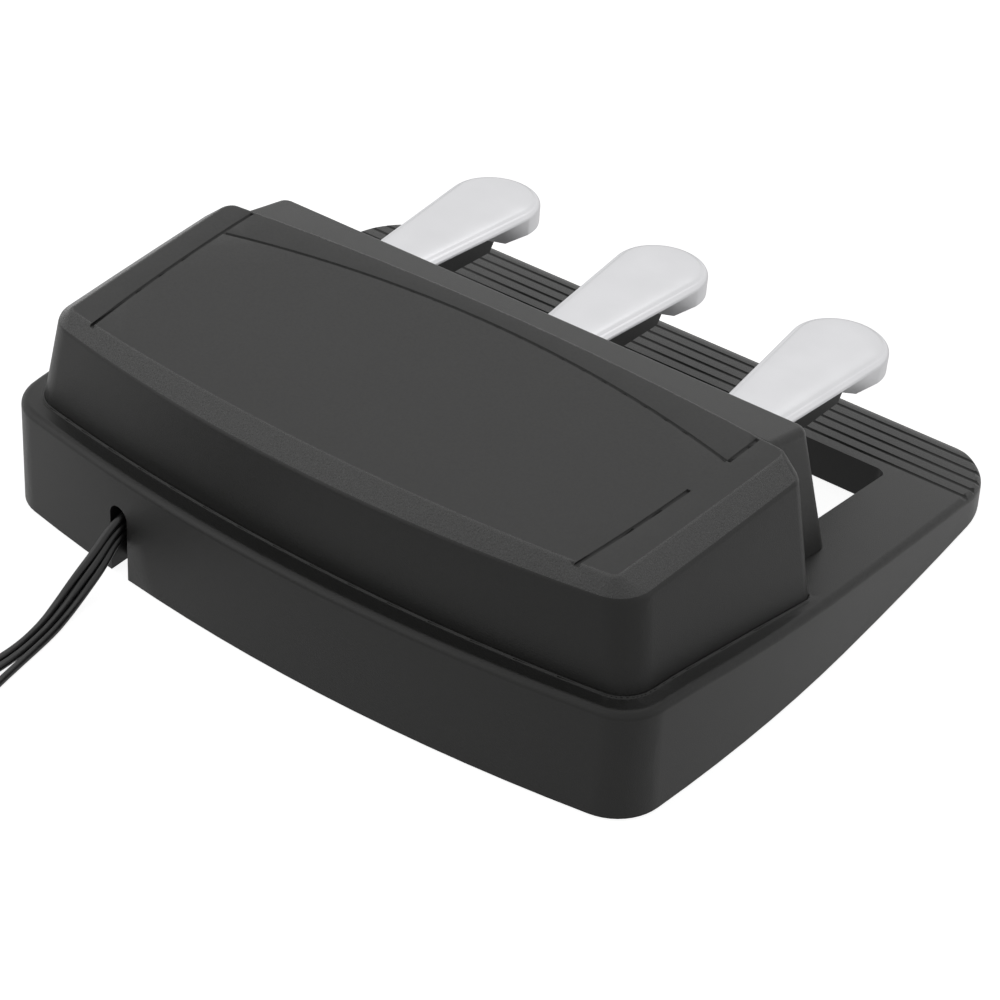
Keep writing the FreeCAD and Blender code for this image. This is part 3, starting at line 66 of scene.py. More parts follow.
CAMERA_PLACE = (-0.450822, 0.65053, 0.593378)
CAMERA_TURN = 34.8392
CAMERA_HEIGHT = 37.0448
CAMERA_ROLL = 3.1886
FOCAL_LENGTH = 91.1106
SENSOR_WIDTH = 36
NEAREST_SEEN = 0.05
FARTHEST_SEEN = 20


def place_camera():
    """Make the camera, with its picture upright apart from a small roll."""
    turn, height, roll = (math.radians(a) for a in (CAMERA_TURN, CAMERA_HEIGHT, CAMERA_ROLL))
    flat = math.cos(height)
    back = Vector((-math.sin(turn) * flat, math.cos(turn) * flat, math.sin(height)))
    level = Vector((0, 0, 1)).cross(back).normalized()
    upward = back.cross(level)
    across = math.cos(roll) * level + math.sin(roll) * upward
    upright = math.cos(roll) * upward - math.sin(roll) * level
    data = bpy.data.cameras.new("camera")
    data.sensor_width = SENSOR_WIDTH
    data.lens = FOCAL_LENGTH
    data.clip_start = NEAREST_SEEN
    data.clip_end = FARTHEST_SEEN
    camera = bpy.data.objects.new("camera", data)
    axes = Matrix((across, upright, back)).transposed().to_4x4()
    camera.matrix_world = Matrix.Translation(CAMERA_PLACE) @ axes
    bpy.context.scene.collection.objects.link(camera)
    bpy.context.scene.camera = camera


place_camera()


# Materials

# Most of a noise lies between these two values
NOISE_LOW = 0.3
NOISE_HIGH = 0.7
PLASTIC_IOR = 1.5


def linear(code):
    """Linear colour of an sRGB hex value."""
    parts = [int(code[i:i + 2], 16) / 255 for i in (1, 3, 5)]
    return [p / 12.92 if p <= 0.04045 else ((p + 0.055) / 1.055) ** 2.4 for p in parts] + [1.0]


def add(tree, kind, settings=None, inputs=None, links=None):
    """Add one shader node with its settings, its socket values and its incoming links."""
    made = tree.nodes.new("ShaderNode" + kind)
    for name, value in (settings or {}).items():
        setattr(made, name, value)
    for name, value in (inputs or {}).items():
        made.inputs[name].default_value = value
    for name, source in (links or {}).items():
        tree.links.new(source, made.inputs[name])
    return made


def start_material(name):
    """Empty material with its node tree and the object's coordinates."""
    made = bpy.data.materials.new(name)
    made.use_nodes = True
    tree = made.node_tree
    tree.nodes.clear()
    return made, tree, add(tree, "TexCoord").outputs["Object"]


def noise(tree, place, size, detail=3.0, roughness=0.5):
    """Noise whose features are about size metres across."""
    inputs = {"Scale": 1 / size, "Detail": detail, "Roughness": roughness}
    return add(tree, "TexNoise", inputs=inputs, links={"Vector": place}).outputs["Fac"]


def mapped(tree, source, low, high, start, end):
    """Value from start to end while the source goes from low to high."""
    inputs = {"From Min": low, "From Max": high, "To Min": start, "To Max": end}
    return add(tree, "MapRange", inputs=inputs, links={"Value": source}).outputs["Result"]


def rough_about(tree, texture, middle, spread):
    """Roughness that wanders about its middle value as a noise does."""
    return mapped(tree, texture, NOISE_LOW, NOISE_HIGH, middle - spread, middle + spread)


def math_node(tree, operation, first, second):
    """Result of one sum or product; either side may be a socket or a number."""
    made = add(tree, "Math", {"operation": operation})
    for slot, value in zip(made.inputs, (first, second)):
        if isinstance(value, (int, float)):
            slot.default_value = value
        else:
            tree.links.new(value, slot)
    return made.outputs[0]


def two_tone(tree, share, dark, light):
    """Colour between two hex values."""
    made = add(tree, "Mix", {"data_type": "RGBA"})
    made.inputs["A"].default_value = linear(dark)
    made.inputs["B"].default_value = linear(light)
    tree.links.new(share, made.inputs["Factor"])
    return made.outputs["Result"]


def bump(tree, height, depth):
    """Normal from a height map whose full range is depth metres."""
    return add(tree, "Bump", inputs={"Distance": depth}, links={"Height": height}).outputs["Normal"]


def shade(tree, inputs, links):
    """Principled shader to the material's output."""
    shader = add(tree, "BsdfPrincipled", inputs=inputs, links=links)
    add(tree, "OutputMaterial", links={"Surface": shader.outputs["BSDF"]})


# Black high-impact polystyrene: its two tones, and how wide the drift between them is
POLYSTYRENE_TONES = ("#20201f", "#252524")
POLYSTYRENE_DRIFT = 60 * MM


def moulded_polystyrene(name, grain, depth, rough, level):
    """Black polystyrene, moulded in a tool whose faces are spark-eroded to a grain.

    The colour drifts a little over the moulding, and the gloss breaks up with the grain.
    """
    made, tree, place = start_material(name)
    texture = noise(tree, place, grain, detail=4.0, roughness=0.65)
    drift = noise(tree, place, POLYSTYRENE_DRIFT, detail=2.0)
    shade(tree, {"IOR": PLASTIC_IOR, "Specular IOR Level": level}, {
        "Base Color": two_tone(tree, drift, *POLYSTYRENE_TONES),
        "Roughness": rough_about(tree, texture, rough, spread=0.05),
        "Normal": bump(tree, texture, depth),
    })
    return made


def satin_plated_steel():
    """Pressed steel with satin nickel plating: soft bright reflections over a fine blasted grain."""
    made, tree, place = start_material("satin_nickel_plated_steel")
    grain = noise(tree, place, 0.35 * MM, roughness=0.6)
    cloud = noise(tree, place, 18 * MM)
    shade(tree, {"Metallic": 1.0}, {
        "Base Color": two_tone(tree, cloud, "#d2d2d4", "#dadadc"),
        "Roughness": rough_about(tree, cloud, middle=0.33, spread=0.03),
        "Normal": bump(tree, grain, depth=0.012 * MM),
    })
    return made


def plain_material(name, tones, rough, grain, depth, blotch=6 * MM, metallic=0.0, level=0.5):
    """Material with a mottled colour, a grain of one size and a roughness that wanders a little."""
    made, tree, place = start_material(name)
    spots = noise(tree, place, blotch)
    texture = noise(tree, place, grain, roughness=0.6)
    inputs = {"Metallic": metallic}
    if not metallic:
        inputs.update({"IOR": PLASTIC_IOR, "Specular IOR Level": level})
    shade(tree, inputs, {
        "Base Color": two_tone(tree, spots, *tones),
        "Roughness": rough_about(tree, texture, rough, spread=0.04),
        "Normal": bump(tree, texture, depth),
    })
    return made


# A pixel of the render is about 0.4 mm, so grains that are finer in life are drawn near that size
MATERIALS = {
    # Flexible PVC jacket: half gloss, with the faint pull marks of extrusion
    "cord_rubber": plain_material(
        "black_pvc_jacket", ("#141414", "#1b1b1b"), rough=0.34, grain=1.2 * MM, depth=0.03 * MM),
    # Overmoulded PVC, a little duller than the cord
    "plug_plastic": plain_material(
        "black_overmoulded_pvc", ("#161616", "#1d1d1d"), rough=0.42, grain=0.6 * MM, depth=0.02 * MM),
    # Nitrile rubber: dull, dusty grey-black
    "foot_rubber": plain_material(
        "black_nitrile_rubber", ("#1c1c1b", "#262625"), rough=0.75, grain=0.5 * MM, depth=0.05 * MM,
        level=0.3),
    # Cold rolled sheet with black electrocoat: satin, a little orange peel
    "plate_steel": plain_material(
        "black_coated_sheet_steel", ("#1f2021", "#28292a"), rough=0.42, grain=1.5 * MM,
        depth=0.03 * MM),
    # Bright zinc plating, slightly blue
    "zinc_steel": plain_material(
        "zinc_plated_steel", ("#a9adb3", "#c3c6c9"), rough=0.28, grain=0.3 * MM, depth=0.01 * MM,
        metallic=1.0),
    # Shaft steel, bright from grinding
    "shaft_steel": plain_material(
        "ground_shaft_steel", ("#a7a7a9", "#bcbcbe"), rough=0.22, grain=0.2 * MM, depth=0.006 * MM,
        metallic=1.0),
    # Oil-hardened spring wire: dark and a little brown
    "spring_steel": plain_material(
        "oil_hardened_spring_wire", ("#55524e", "#6b6762"), rough=0.33, grain=0.3 * MM, depth=0.01 * MM,
        metallic=1.0),
    # Natural acetal: milky and slippery
    "bush_plastic": plain_material(
        "natural_acetal", ("#dcd9cf", "#e6e3da"), rough=0.35, grain=0.6 * MM, depth=0.01 * MM),
    # Glass-filled nylon: black with faint grey fibre streaks
    "lever_plastic": plain_material(
        "glass_filled_nylon", ("#202020", "#2c2c2c"), rough=0.48, grain=0.5 * MM, depth=0.04 * MM,
        blotch=2 * MM),
    # Moulded polyester: even slate grey, half matt
    "sensor_plastic": plain_material(
        "grey_polyester_moulding", ("#3a4046", "#474d54"), rough=0.4, grain=0.5 * MM, depth=0.01 * MM),
    # Epoxy glass board under green solder resist
    "board": plain_material(
        "green_solder_resist", ("#0f4a2c", "#175c37"), rough=0.3, grain=0.7 * MM, depth=0.01 * MM,
        blotch=1.5 * MM),
    # Pressed wool felt: no gloss, woolly surface
    "stop_felt": plain_material(
        "pressed_wool_felt", ("#6e6a66", "#8a857f"), rough=0.95, grain=0.6 * MM, depth=0.25 * MM,
        blotch=1 * MM, level=0.1),
}
# Walls: fine matt grain, drawn at 0.5 mm because the real 0.1 mm is finer than a pixel
MATERIALS["case_plastic"] = moulded_polystyrene(
    "black_fine_grained_polystyrene", grain=0.5 * MM, depth=0.11 * MM, rough=0.36, level=0.3)
# The sloping band round the top panel: coarse grain that glitters towards a lamp
COARSE_PLASTIC = moulded_polystyrene(
    "black_coarse_grained_polystyrene", grain=0.8 * MM, depth=0.5 * MM, rough=0.27, level=0.6)
# The top panel: polished tool face gone matt, with the faintest ripple
PANEL_PLASTIC = moulded_polystyrene(
    "black_smooth_polystyrene", grain=1.0 * MM, depth=0.012 * MM, rough=0.47, level=0.38)
MATERIALS["satin_metal"] = satin_plated_steel()


# The slot and the body of each CAD node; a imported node's material bears its slot's name

SLOT_OF = {name: thing.data.materials[0].name for name, thing in frame["nodes"].items()}
BODY_OF = {}
for body_name, node_names in frame["record"]["behaviour"]["bodies"].items():
    for node_name in node_names:
        BODY_OF[node_name] = body_name


def dress(thing, slot):
    """Give a piece the material of one of the record's slots."""
    thing.data.materials.clear()
    thing.data.materials.append(MATERIALS[slot])


for node_name, thing in frame["nodes"].items():
    dress(thing, SLOT_OF[node_name])


# New pieces: how each joins its body, and the steps that shape several of them

def add_piece(name, data, body, slot, replaced=()):
    """Object of a mesh or a curve that rides on a body and may stand for CAD nodes."""
    thing = bpy.data.objects.new(name, data)
    bpy.context.scene.collection.objects.link(thing)
    dress(thing, slot)
    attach(thing, body)
    if replaced:
        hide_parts(*replaced)
    return thing


def finish_piece(name, shape, body, slot, replaced, sharp):
    """Turn a bmesh into a piece; edges sharper than an angle in degrees stay sharp."""
    mesh = bpy.data.meshes.new(name)
    shape.to_mesh(mesh)
    shape.free()
    mesh.shade_smooth()
    mesh.set_sharp_from_angle(angle=math.radians(sharp))
    return add_piece(name, mesh, body, slot, replaced)


def even_shading(thing, weight):
    """Let large faces lead the shading over rounded edges."""
    normals = thing.modifiers.new("even_shading", "WEIGHTED_NORMAL")
    normals.keep_sharp = True
    normals.weight = weight


def merged_copy(node):
    """Bmesh of a CAD node with its loose triangles joined."""
    shape = bmesh.new()
    shape.from_mesh(frame["nodes"][node].data)
    bmesh.ops.remove_doubles(shape, verts=shape.verts, dist=JOIN_SLACK)
    return shape


def draw_out(shape, faces, move):
    """Extrude faces by a move, and give back their new vertices."""
    made = bmesh.ops.extrude_face_region(shape, geom=faces)
    moved = [v for v in made["geom"] if isinstance(v, bmesh.types.BMVert)]
    bmesh.ops.translate(shape, verts=moved, vec=move)
    return moved


def round_off(shape, edges, radius, steps):
    """Round some edges in a number of steps."""
    bmesh.ops.bevel(shape, geom=edges, offset=radius, offset_type="OFFSET", segments=steps,
                    profile=0.5, affect="EDGES", material=-1)


def tube(name, points, radius, resolution, steps, capped):
    """Round tube along a smooth spline that has the points as its control points."""
    data = bpy.data.curves.new(name, "CURVE")
    data.dimensions = "3D"
    data.bevel_depth = radius
    data.bevel_resolution = resolution
    data.resolution_u = steps
    data.use_fill_caps = capped
    spline = data.splines.new("NURBS")
    spline.points.add(len(points) - 1)
    for place, point in zip(spline.points, points):
        place.co = (*point, 1.0)
    spline.order_u = 3
    spline.use_endpoint_u = True
    return data


# Moulded and pressed parts: the CAD shapes with soft shading over their rounded edges

# Edges that turn by more than this, in degrees, stay sharp
SHELL_SHARP = 32
# Top of the housing: heights above which the finish changes, and how far up its faces look
BAND_LOW = 81.4 * MM
BAND_UP = 0.25
PANEL_LOW = 86.5 * MM
PANEL_UP = 0.999
# The grain stops at the ridge: faces that lean to the player more than this stay smooth
BAND_FRONT = -0.15


def smooth_shell(node):
    """Piece that stands for a moulded or pressed CAD node."""
    thing = finish_piece(node + "_shell", merged_copy(node), BODY_OF[node], SLOT_OF[node], [node],
                         sharp=SHELL_SHARP)
    even_shading(thing, weight=100)
    return thing


def finish_top(housing):
    """Coarse grain on the sloping band, smooth finish on the flat panel and its engraved lines."""
    housing.data.materials.append(COARSE_PLASTIC)
    housing.data.materials.append(PANEL_PLASTIC)
    for face in housing.data.polygons:
        if face.center.z > PANEL_LOW and face.normal.z > PANEL_UP:
            face.material_index = 2
        elif face.center.z > BAND_LOW and face.normal.z > BAND_UP and face.normal.y > BAND_FRONT:
            face.material_index = 1


for node_name in ("base_case", "front_cover", "bottom_plate", "pivot_bracket"):
    smooth_shell(node_name)
finish_top(smooth_shell("main_housing"))
for side in SIDES:
    smooth_shell("lever_" + side)


# Foot bead: the raised lip of the case that runs round the housing's foot

BEAD = 0.5 * MM
BEAD_FRONT = 22 * MM
BEAD_STEP = 2 * MM
# The bead's middle lies this far outside the foot line, so it is partly sunk in the wall
BEAD_OUT = 0.6 * BEAD
HOUSING_MIDDLE = 60 * MM
# How far up or down a face looks: a wall's at most, an underside's at least, and a level face's
WALL_LEAN = 0.5
LOOKS_DOWN = -0.9
LEVEL = 0.99


def foot_line():
    """Points along the outer lower edge of the housing, from its front left round the rear."""
    shape = merged_copy("main_housing")
    shape.normal_update()
    chain = {}
    for edge in shape.edges:
        walls = [face.normal for face in edge.link_faces if abs(face.normal.z) < WALL_LEAN]
        under = [face for face in edge.link_faces if face.normal.z < LOOKS_DOWN]
        middle = (edge.verts[0].co + edge.verts[1].co) / 2
        if walls and under and min(v.co.y for v in edge.verts) > BEAD_FRONT:
            outward = middle - Vector((0, HOUSING_MIDDLE, middle.z))
            if walls[0].dot(outward) > 0:
                for one, other in (edge.verts, reversed(edge.verts)):
                    chain.setdefault(one, []).append(other)
    here = min((v for v in chain if len(chain[v]) == 1), key=lambda v: v.co.x)
    line, last = [here], None
    while True:
        following = [v for v in chain[here] if v is not last]
        if not following:
            break
        last, here = here, following[0]
        line.append(here)
    points = [v.co.copy() for v in line]
    shape.free()
    return points


def foot_bead():
    """Round bead just outside the foot line."""
    line = foot_line()
    points = [line[0]]
    for point in line[1:]:
        if (point - points[-1]).length > BEAD_STEP:
            points.append(point)
    pushed = []
    for index, point in enumerate(points):
        along = points[min(index + 1, len(points) - 1)] - points[max(index - 1, 0)]
        outward = Vector((-along.y, along.x, 0)).normalized() * BEAD_OUT
        if outward.dot(point - Vector((0, HOUSING_MIDDLE, 0))) < 0:
            outward.negate()
        pushed.append(point + outward)
    bead = tube("foot_bead", pushed, BEAD, resolution=3, steps=3, capped=False)
    add_piece("foot_bead", bead, "base", "case_plastic")


foot_bead()


# Pedal blades: pressed teardrops with a skirt round the head

PITCH = 84 * MM
BLADE_HEIGHT = 56.4 * MM
BLADE_DATUM = 120 * MM
BLADE_SLOPE = math.radians(1.66)
BLADE_THICK = 2.4 * MM
BLADE_REAR = 10 * MM
HEAD_CENTRE = 101 * MM
HEAD_RADIUS = 19.8 * MM
HEAD_STEPS = 40
NECK_HALF = 11.8 * MM
NECK_PLACE = 20 * MM
SKIRT_DEPTH = 9.5 * MM
SKIRT_WALL = 2.2 * MM
SKIRT_END = 74 * MM
# Length over which the skirt runs out to nothing towards the neck
SKIRT_RUN = 13 * MM
EDGE_ROUND = 2.3 * MM
EDGE_STEPS = 8
CROWN = 1.5 * MM
# Steps of the crown from the edge inwards: the width of each and its share of the rise
CROWN_STEPS = ((0.6 * MM, 0.36), (1.0 * MM, 0.21), (1.6 * MM, 0.2), (2.4 * MM, 0.16), (3.4 * MM, 0.07))
# The blade's top is the only face that looks up and is larger than this, in square metres
TOP_AREA = 1e-4


def blade_outline(shape):
    """Closed line of the teardrop: the head's arc, then straight to the end inside the cover."""
    reach = HEAD_CENTRE - NECK_PLACE
    lean = math.asin(HEAD_RADIUS / math.hypot(NECK_HALF, reach)) - math.atan2(NECK_HALF, reach)
    touch = Vector((HEAD_RADIUS * math.cos(lean), HEAD_RADIUS * math.sin(lean) - HEAD_CENTRE, 0))
    start = shape.verts.new(touch)
    bmesh.ops.spin(shape, geom=[start], cent=(0, -HEAD_CENTRE, 0), axis=(0, 0, -1), dvec=(0, 0, 0),
                   angle=math.pi + 2 * lean, steps=HEAD_STEPS, use_duplicate=False)
    inward = (BLADE_REAR - touch.y) * math.tan(lean)
    rear = [shape.verts.new((side * (touch.x - inward), BLADE_REAR, 0)) for side in (1, -1)]
    shape.verts.ensure_lookup_table()
    arc_end = min((v for v in shape.verts if v not in rear and v is not start),
                  key=lambda v: (v.co - Vector((-touch.x, touch.y, 0))).length)
    for one, other in ((start, rear[0]), (rear[0], rear[1]), (rear[1], arc_end)):
        shape.edges.new((one, other))
    bmesh.ops.contextual_create(shape, geom=shape.edges[:])


def hollow_head(shape):
    """Draw the edge of the head's underside down into the skirt."""
    under = [f for f in shape.faces if f.normal.z < LOOKS_DOWN]
    geom = under + [e for f in under for e in f.edges] + [v for f in under for v in f.verts]
    bmesh.ops.bisect_plane(shape, geom=geom, plane_co=(0, -SKIRT_END, 0), plane_no=(0, 1, 0),
                           dist=PLACE_SLACK)
    head = [f for f in shape.faces
            if f.normal.z < LOOKS_DOWN and f.calc_center_median().y < -SKIRT_END]
    ring = bmesh.ops.inset_region(shape, faces=head, thickness=SKIRT_WALL, use_boundary=True)["faces"]
    ring = [f for f in ring
            if f.normal.z < LOOKS_DOWN and max(v.co.y for v in f.verts) < -SKIRT_END + PLACE_SLACK
            or f.calc_center_median().y < -SKIRT_END - SKIRT_WALL]
    low = draw_out(shape, ring, (0, 0, BLADE_THICK - SKIRT_DEPTH))
    bmesh.ops.delete(shape, geom=ring, context="FACES_ONLY")
    for vertex in low:
        if vertex.co.y > -SKIRT_END - SKIRT_WALL - PLACE_SLACK:
            vertex.co.y -= SKIRT_RUN
    bmesh.ops.recalc_face_normals(shape, faces=shape.faces)


def blade_piece(side, across):
    """Blade with a crowned top, a rounded edge and a hollow head."""
    shape = bmesh.new()
    blade_outline(shape)
    draw_out(shape, shape.faces[:], (0, 0, -BLADE_THICK))
    bmesh.ops.recalc_face_normals(shape, faces=shape.faces)
    hollow_head(shape)
    edge = [e for e in shape.edges if all(abs(v.co.z) < CUT_SLACK for v in e.verts)]
    round_off(shape, edge, EDGE_ROUND, EDGE_STEPS)
    top = [f for f in shape.faces if f.normal.z > LEVEL and f.calc_area() > TOP_AREA]
    for width, share in CROWN_STEPS:
        bmesh.ops.inset_region(shape, faces=top, thickness=width, depth=share * CROWN,
                               use_boundary=True)
    height = BLADE_HEIGHT - CROWN + BLADE_DATUM * math.tan(BLADE_SLOPE)
    placement = Matrix.Translation((across, 0, height)) @ Matrix.Rotation(BLADE_SLOPE, 4, "X")
    bmesh.ops.transform(shape, matrix=placement, verts=shape.verts)
    blade = finish_piece("pedal_blade_" + side, shape, "pedal_" + side, "satin_metal",
                         ["blade_" + side], sharp=50)
    even_shading(blade, weight=50)


for side, across in zip(SIDES, (-PITCH, 0, PITCH)):
    blade_piece(side, across)


# Return springs: they shorten as the pedals go down

for side in SIDES:
    spring = finish_piece("return_spring_" + side, merged_copy("spring_" + side), "base",
                          "spring_steel", ["spring_" + side], sharp=60)
    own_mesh(spring)


# Screws under the base: pan heads with a cross recess

HEAD_HEIGHT = 1.1 * MM
RIM_ROUND = 0.6 * MM
RIM_STEPS = 4
CROSS_HALF = 1.7 * MM
CROSS_ARM = 0.45 * MM
CROSS_DEPTH = 0.7 * MM
# The shank's radius under the head and at its end, as shares of the head's
SHANK_WIDE = 0.47
SHANK_NARROW = 0.42


def crossed_head(node):
    """Zinc-plated screw whose head faces the floor, in the place of a CAD screw."""
    low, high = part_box(node)
    radius = (high.x - low.x) / 2
    middle = Vector(((low.x + high.x) / 2, (low.y + high.y) / 2, low.z))
    shape = bmesh.new()
    bmesh.ops.create_circle(shape, cap_ends=True, radius=radius, segments=32)
    for axis in (Vector((1, 0, 0)), Vector((0, 1, 0))):
        for reach in (-CROSS_HALF, -CROSS_ARM, CROSS_ARM, CROSS_HALF):
            geom = shape.verts[:] + shape.edges[:] + shape.faces[:]
            bmesh.ops.bisect_plane(shape, geom=geom, plane_co=axis * reach, plane_no=axis,
                                   dist=CUT_SLACK)
    draw_out(shape, shape.faces[:], (0, 0, HEAD_HEIGHT))
    bmesh.ops.recalc_face_normals(shape, faces=shape.faces)
    cross = []
    for face in shape.faces:
        place = face.calc_center_median()
        across, along = sorted((abs(place.x), abs(place.y)))
        if face.normal.z < LOOKS_DOWN and across < CROSS_ARM and along < CROSS_HALF:
            cross.append(face)
    draw_out(shape, cross, (0, 0, CROSS_DEPTH))
    bmesh.ops.delete(shape, geom=cross, context="FACES_ONLY")
    rim = [e for e in shape.edges
           if all(abs(v.co.z) < CUT_SLACK and v.co.length > 0.99 * radius for v in e.verts)]
    round_off(shape, rim, RIM_ROUND, RIM_STEPS)
    shank = high.z - low.z - HEAD_HEIGHT
    bmesh.ops.create_cone(shape, cap_ends=True, segments=20, radius1=SHANK_WIDE * radius,
                          radius2=SHANK_NARROW * radius, depth=shank,
                          matrix=Matrix.Translation((0, 0, HEAD_HEIGHT + shank / 2)))
    bmesh.ops.recalc_face_normals(shape, faces=shape.faces)
    bmesh.ops.translate(shape, verts=shape.verts, vec=middle)
    finish_piece(node + "_cross", shape, "base", "zinc_steel", [node], sharp=30)


LOWER_SCREWS = ["plate_screw_%d" % number for number in (1, 2, 3, 4)]
for use in ("housing", "cover", "bracket"):
    LOWER_SCREWS += ["%s_screw_%d" % (use, number) for number in (1, 2)]
for node_name in LOWER_SCREWS + ["clamp_screw"]:
    crossed_head(node_name)


# Rubber feet: stuck-on discs with a soft rim and a shallow dish

SOLE_MARGIN = 1.6 * MM
DISH_EDGE = 0.5 * MM
DISH_DEPTH = 0.3 * MM


def rubber_foot(node):
    """Foot that stands for a CAD disc."""
    low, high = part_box(node)
    radius = (high.x - low.x) / 2
    shape = bmesh.new()
    bmesh.ops.create_cone(shape, cap_ends=True, segments=48, radius1=radius, radius2=radius,
                          depth=high.z - low.z, matrix=Matrix.Translation((low + high) / 2))
    rim = [e for e in shape.edges if all(v.co.z < low.z + PLACE_SLACK for v in e.verts)]
    round_off(shape, rim, RIM_ROUND, RIM_STEPS)
    sole = [f for f in shape.faces if f.normal.z < -LEVEL]
    bmesh.ops.inset_region(shape, faces=sole, thickness=SOLE_MARGIN, depth=0, use_boundary=True)
    bmesh.ops.inset_region(shape, faces=sole, thickness=DISH_EDGE, depth=-DISH_DEPTH,
                           use_boundary=True)
    finish_piece("rubber_" + node, shape, "base", "foot_rubber", [node], sharp=40)


for number in (1, 2, 3, 4):
    rubber_foot("foot_%d" % number)


# Cords: the routes of part.py in metres, then the turns of the coil that is put away

CORD = 3 * MM
ROUTES = {
    "right": [
        (0.078, 0.109, 0.027), (0.078, 0.123, 0.027), (0.0789, 0.1345, 0.0249), (0.081, 0.143, 0.0157),
        (0.0824, 0.1525, 0.0085), (0.0812, 0.163, 0.0039), (0.0789, 0.174, 0.0015), (0.0766, 0.19, 0.0015),
        (0.0785, 0.206, 0.0015), (0.087, 0.221, 0.0015), (0.101, 0.232, 0.0015), (0.117, 0.237, 0.0015),
    ],
    "middle": [
        (0.078, 0.109, 0.023), (0.078, 0.123, 0.023), (0.0784, 0.1345, 0.0214), (0.079, 0.143, 0.0134),
        (0.0797, 0.1525, 0.0069), (0.0783, 0.163, 0.0029), (0.0758, 0.174, 0.0015), (0.0735, 0.19, 0.0015),
        (0.0743, 0.208, 0.0015), (0.078, 0.228, 0.0015), (0.083, 0.247, 0.0015), (0.086, 0.266, 0.0015),
        (0.086, 0.284, 0.0015),
    ],
    "left": [
        (0.078, 0.109, 0.019), (0.078, 0.123, 0.019), (0.0776, 0.1345, 0.0182), (0.0769, 0.143, 0.0112),
        (0.077, 0.1525, 0.0053), (0.0754, 0.163, 0.0021), (0.0727, 0.174, 0.0015), (0.0704, 0.19, 0.0015),
        (0.0678, 0.208, 0.0015), (0.063, 0.228, 0.0015), (0.057, 0.247, 0.0015), (0.054, 0.266, 0.0015),
        (0.054, 0.284, 0.0015),
    ],
}
COIL_SIDE = {"right": -1, "middle": -1, "left": 1}
COIL_OUTER = 26 * MM
COIL_STEP = 4.25 * MM
COIL_LAYER = 3.45 * MM
COIL_LAYERS = 4
LAYER_TURNS = 4
POINTS_PER_HALF_TURN = 6
PLUG_STEP = 7 * MM
PLUG_REST = 5 * MM


def coil_ends(side):
    """Where the half turns of a coil begin and end, in the coil's own frame."""
    inward = [COIL_OUTER - COIL_STEP / 2 * index for index in range(2 * LAYER_TURNS + 1)]
    ends = []
    for layer in range(COIL_LAYERS):
        for reach in inward if layer % 2 == 0 else inward[::-1]:
            across = side if len(ends) % 2 == 0 else -side
            ends.append(Vector((across * reach, 0, CORD / 2 + layer * COIL_LAYER)))
    ends.append(Vector((side * (COIL_OUTER + PLUG_STEP), 0, PLUG_REST)))
    return ends


def coil_turns(side):
    """Control points round each half turn, outside its circle so that the spline runs along it."""
    points = []
    ends = coil_ends(side)
    step = math.pi / POINTS_PER_HALF_TURN
    wide = 1 / math.cos(step / 2)
    for index, (start, end) in enumerate(zip(ends, ends[1:])):
        middle, half = (start + end) / 2, (start - end) / 2
        bulge = Vector((0, half.length if index % 2 == 0 else -half.length, 0))
        for number in range(POINTS_PER_HALF_TURN):
            angle = (number + 0.5) * step
            point = middle + half * math.cos(angle) * wide + bulge * math.sin(angle) * wide
            point.z = middle.z + half.z * math.cos(angle)
            points.append(point)
    return points


def coil_placement(route, side):
    """Placement of a coil at the end of its cord's route."""
    heading = Vector(route[-1]) - Vector(route[-2])
    turn = Matrix.Rotation(math.atan2(heading.y, heading.x) - math.pi / 2, 4, "Z")
    entry = turn @ Vector((side * COIL_OUTER, -CORD, 0))
    return Matrix.Translation(Vector((route[-1][0], route[-1][1], 0)) - entry) @ turn


def plug_end(side):
    """Where a plug begins, in its coil's own frame."""
    return Vector((side * (COIL_OUTER + PLUG_STEP), CORD, PLUG_REST))


def cord_piece(name):
    """Free cord from the clamp through the slot and over the floor into its coil."""
    route, side = ROUTES[name], COIL_SIDE[name]
    placement = coil_placement(route, side)
    points = [Vector(p) for p in route]
    points += [placement @ p for p in coil_turns(side) + [plug_end(side)]]
    cord = tube("flex_" + name, points, CORD / 2, resolution=4, steps=6, capped=True)
    return add_piece("flex_" + name, cord, "base", "cord_rubber", ["cord_" + name, "coil_" + name])


# Plugs: profiles turned about the plug's own line, as distances and radii in millimetres

# Moulded grip: sleeve on the cord, cone, then a barrel with four finger grooves
GRIP_PROFILE = [
    (0, 1.6), (0, 2.3), (1.5, 2.4), (1.9, 2.0), (2.4, 2.0), (2.8, 2.7), (4.3, 3.0), (4.7, 2.5),
    (5.2, 2.5), (5.6, 3.5), (8.4, 4.7), (9.6, 4.95), (12, 4.95),
]
for groove in range(4):
    GRIP_PROFILE += [(12.4 + 2 * groove, 4.55), (13.2 + 2 * groove, 4.55), (13.6 + 2 * groove, 4.95)]
GRIP_PROFILE += [(23.2, 4.95), (24, 4.4), (24, 0)]
# Quarter-inch pin: sleeve, ring and tip, with a groove for an insulating ring between each two
PIN_PROFILE = [
    (23.6, 0), (23.6, 4.2), (24.6, 4.2), (24.9, 3.175), (38.5, 3.175), (38.6, 3.0), (39.6, 3.0),
    (39.7, 3.175), (44.3, 3.175), (44.4, 3.0), (45.4, 3.0), (45.5, 3.175), (48, 3.175),
    (49.3, 2.05), (50.0, 2.05), (51.0, 3.1), (51.6, 3.1), (53.4, 1.1), (53.9, 0),
]
INSULATOR_PLACES = ((38.55 * MM, 39.65 * MM), (44.35 * MM, 45.45 * MM))
TURNED_STEPS = 40


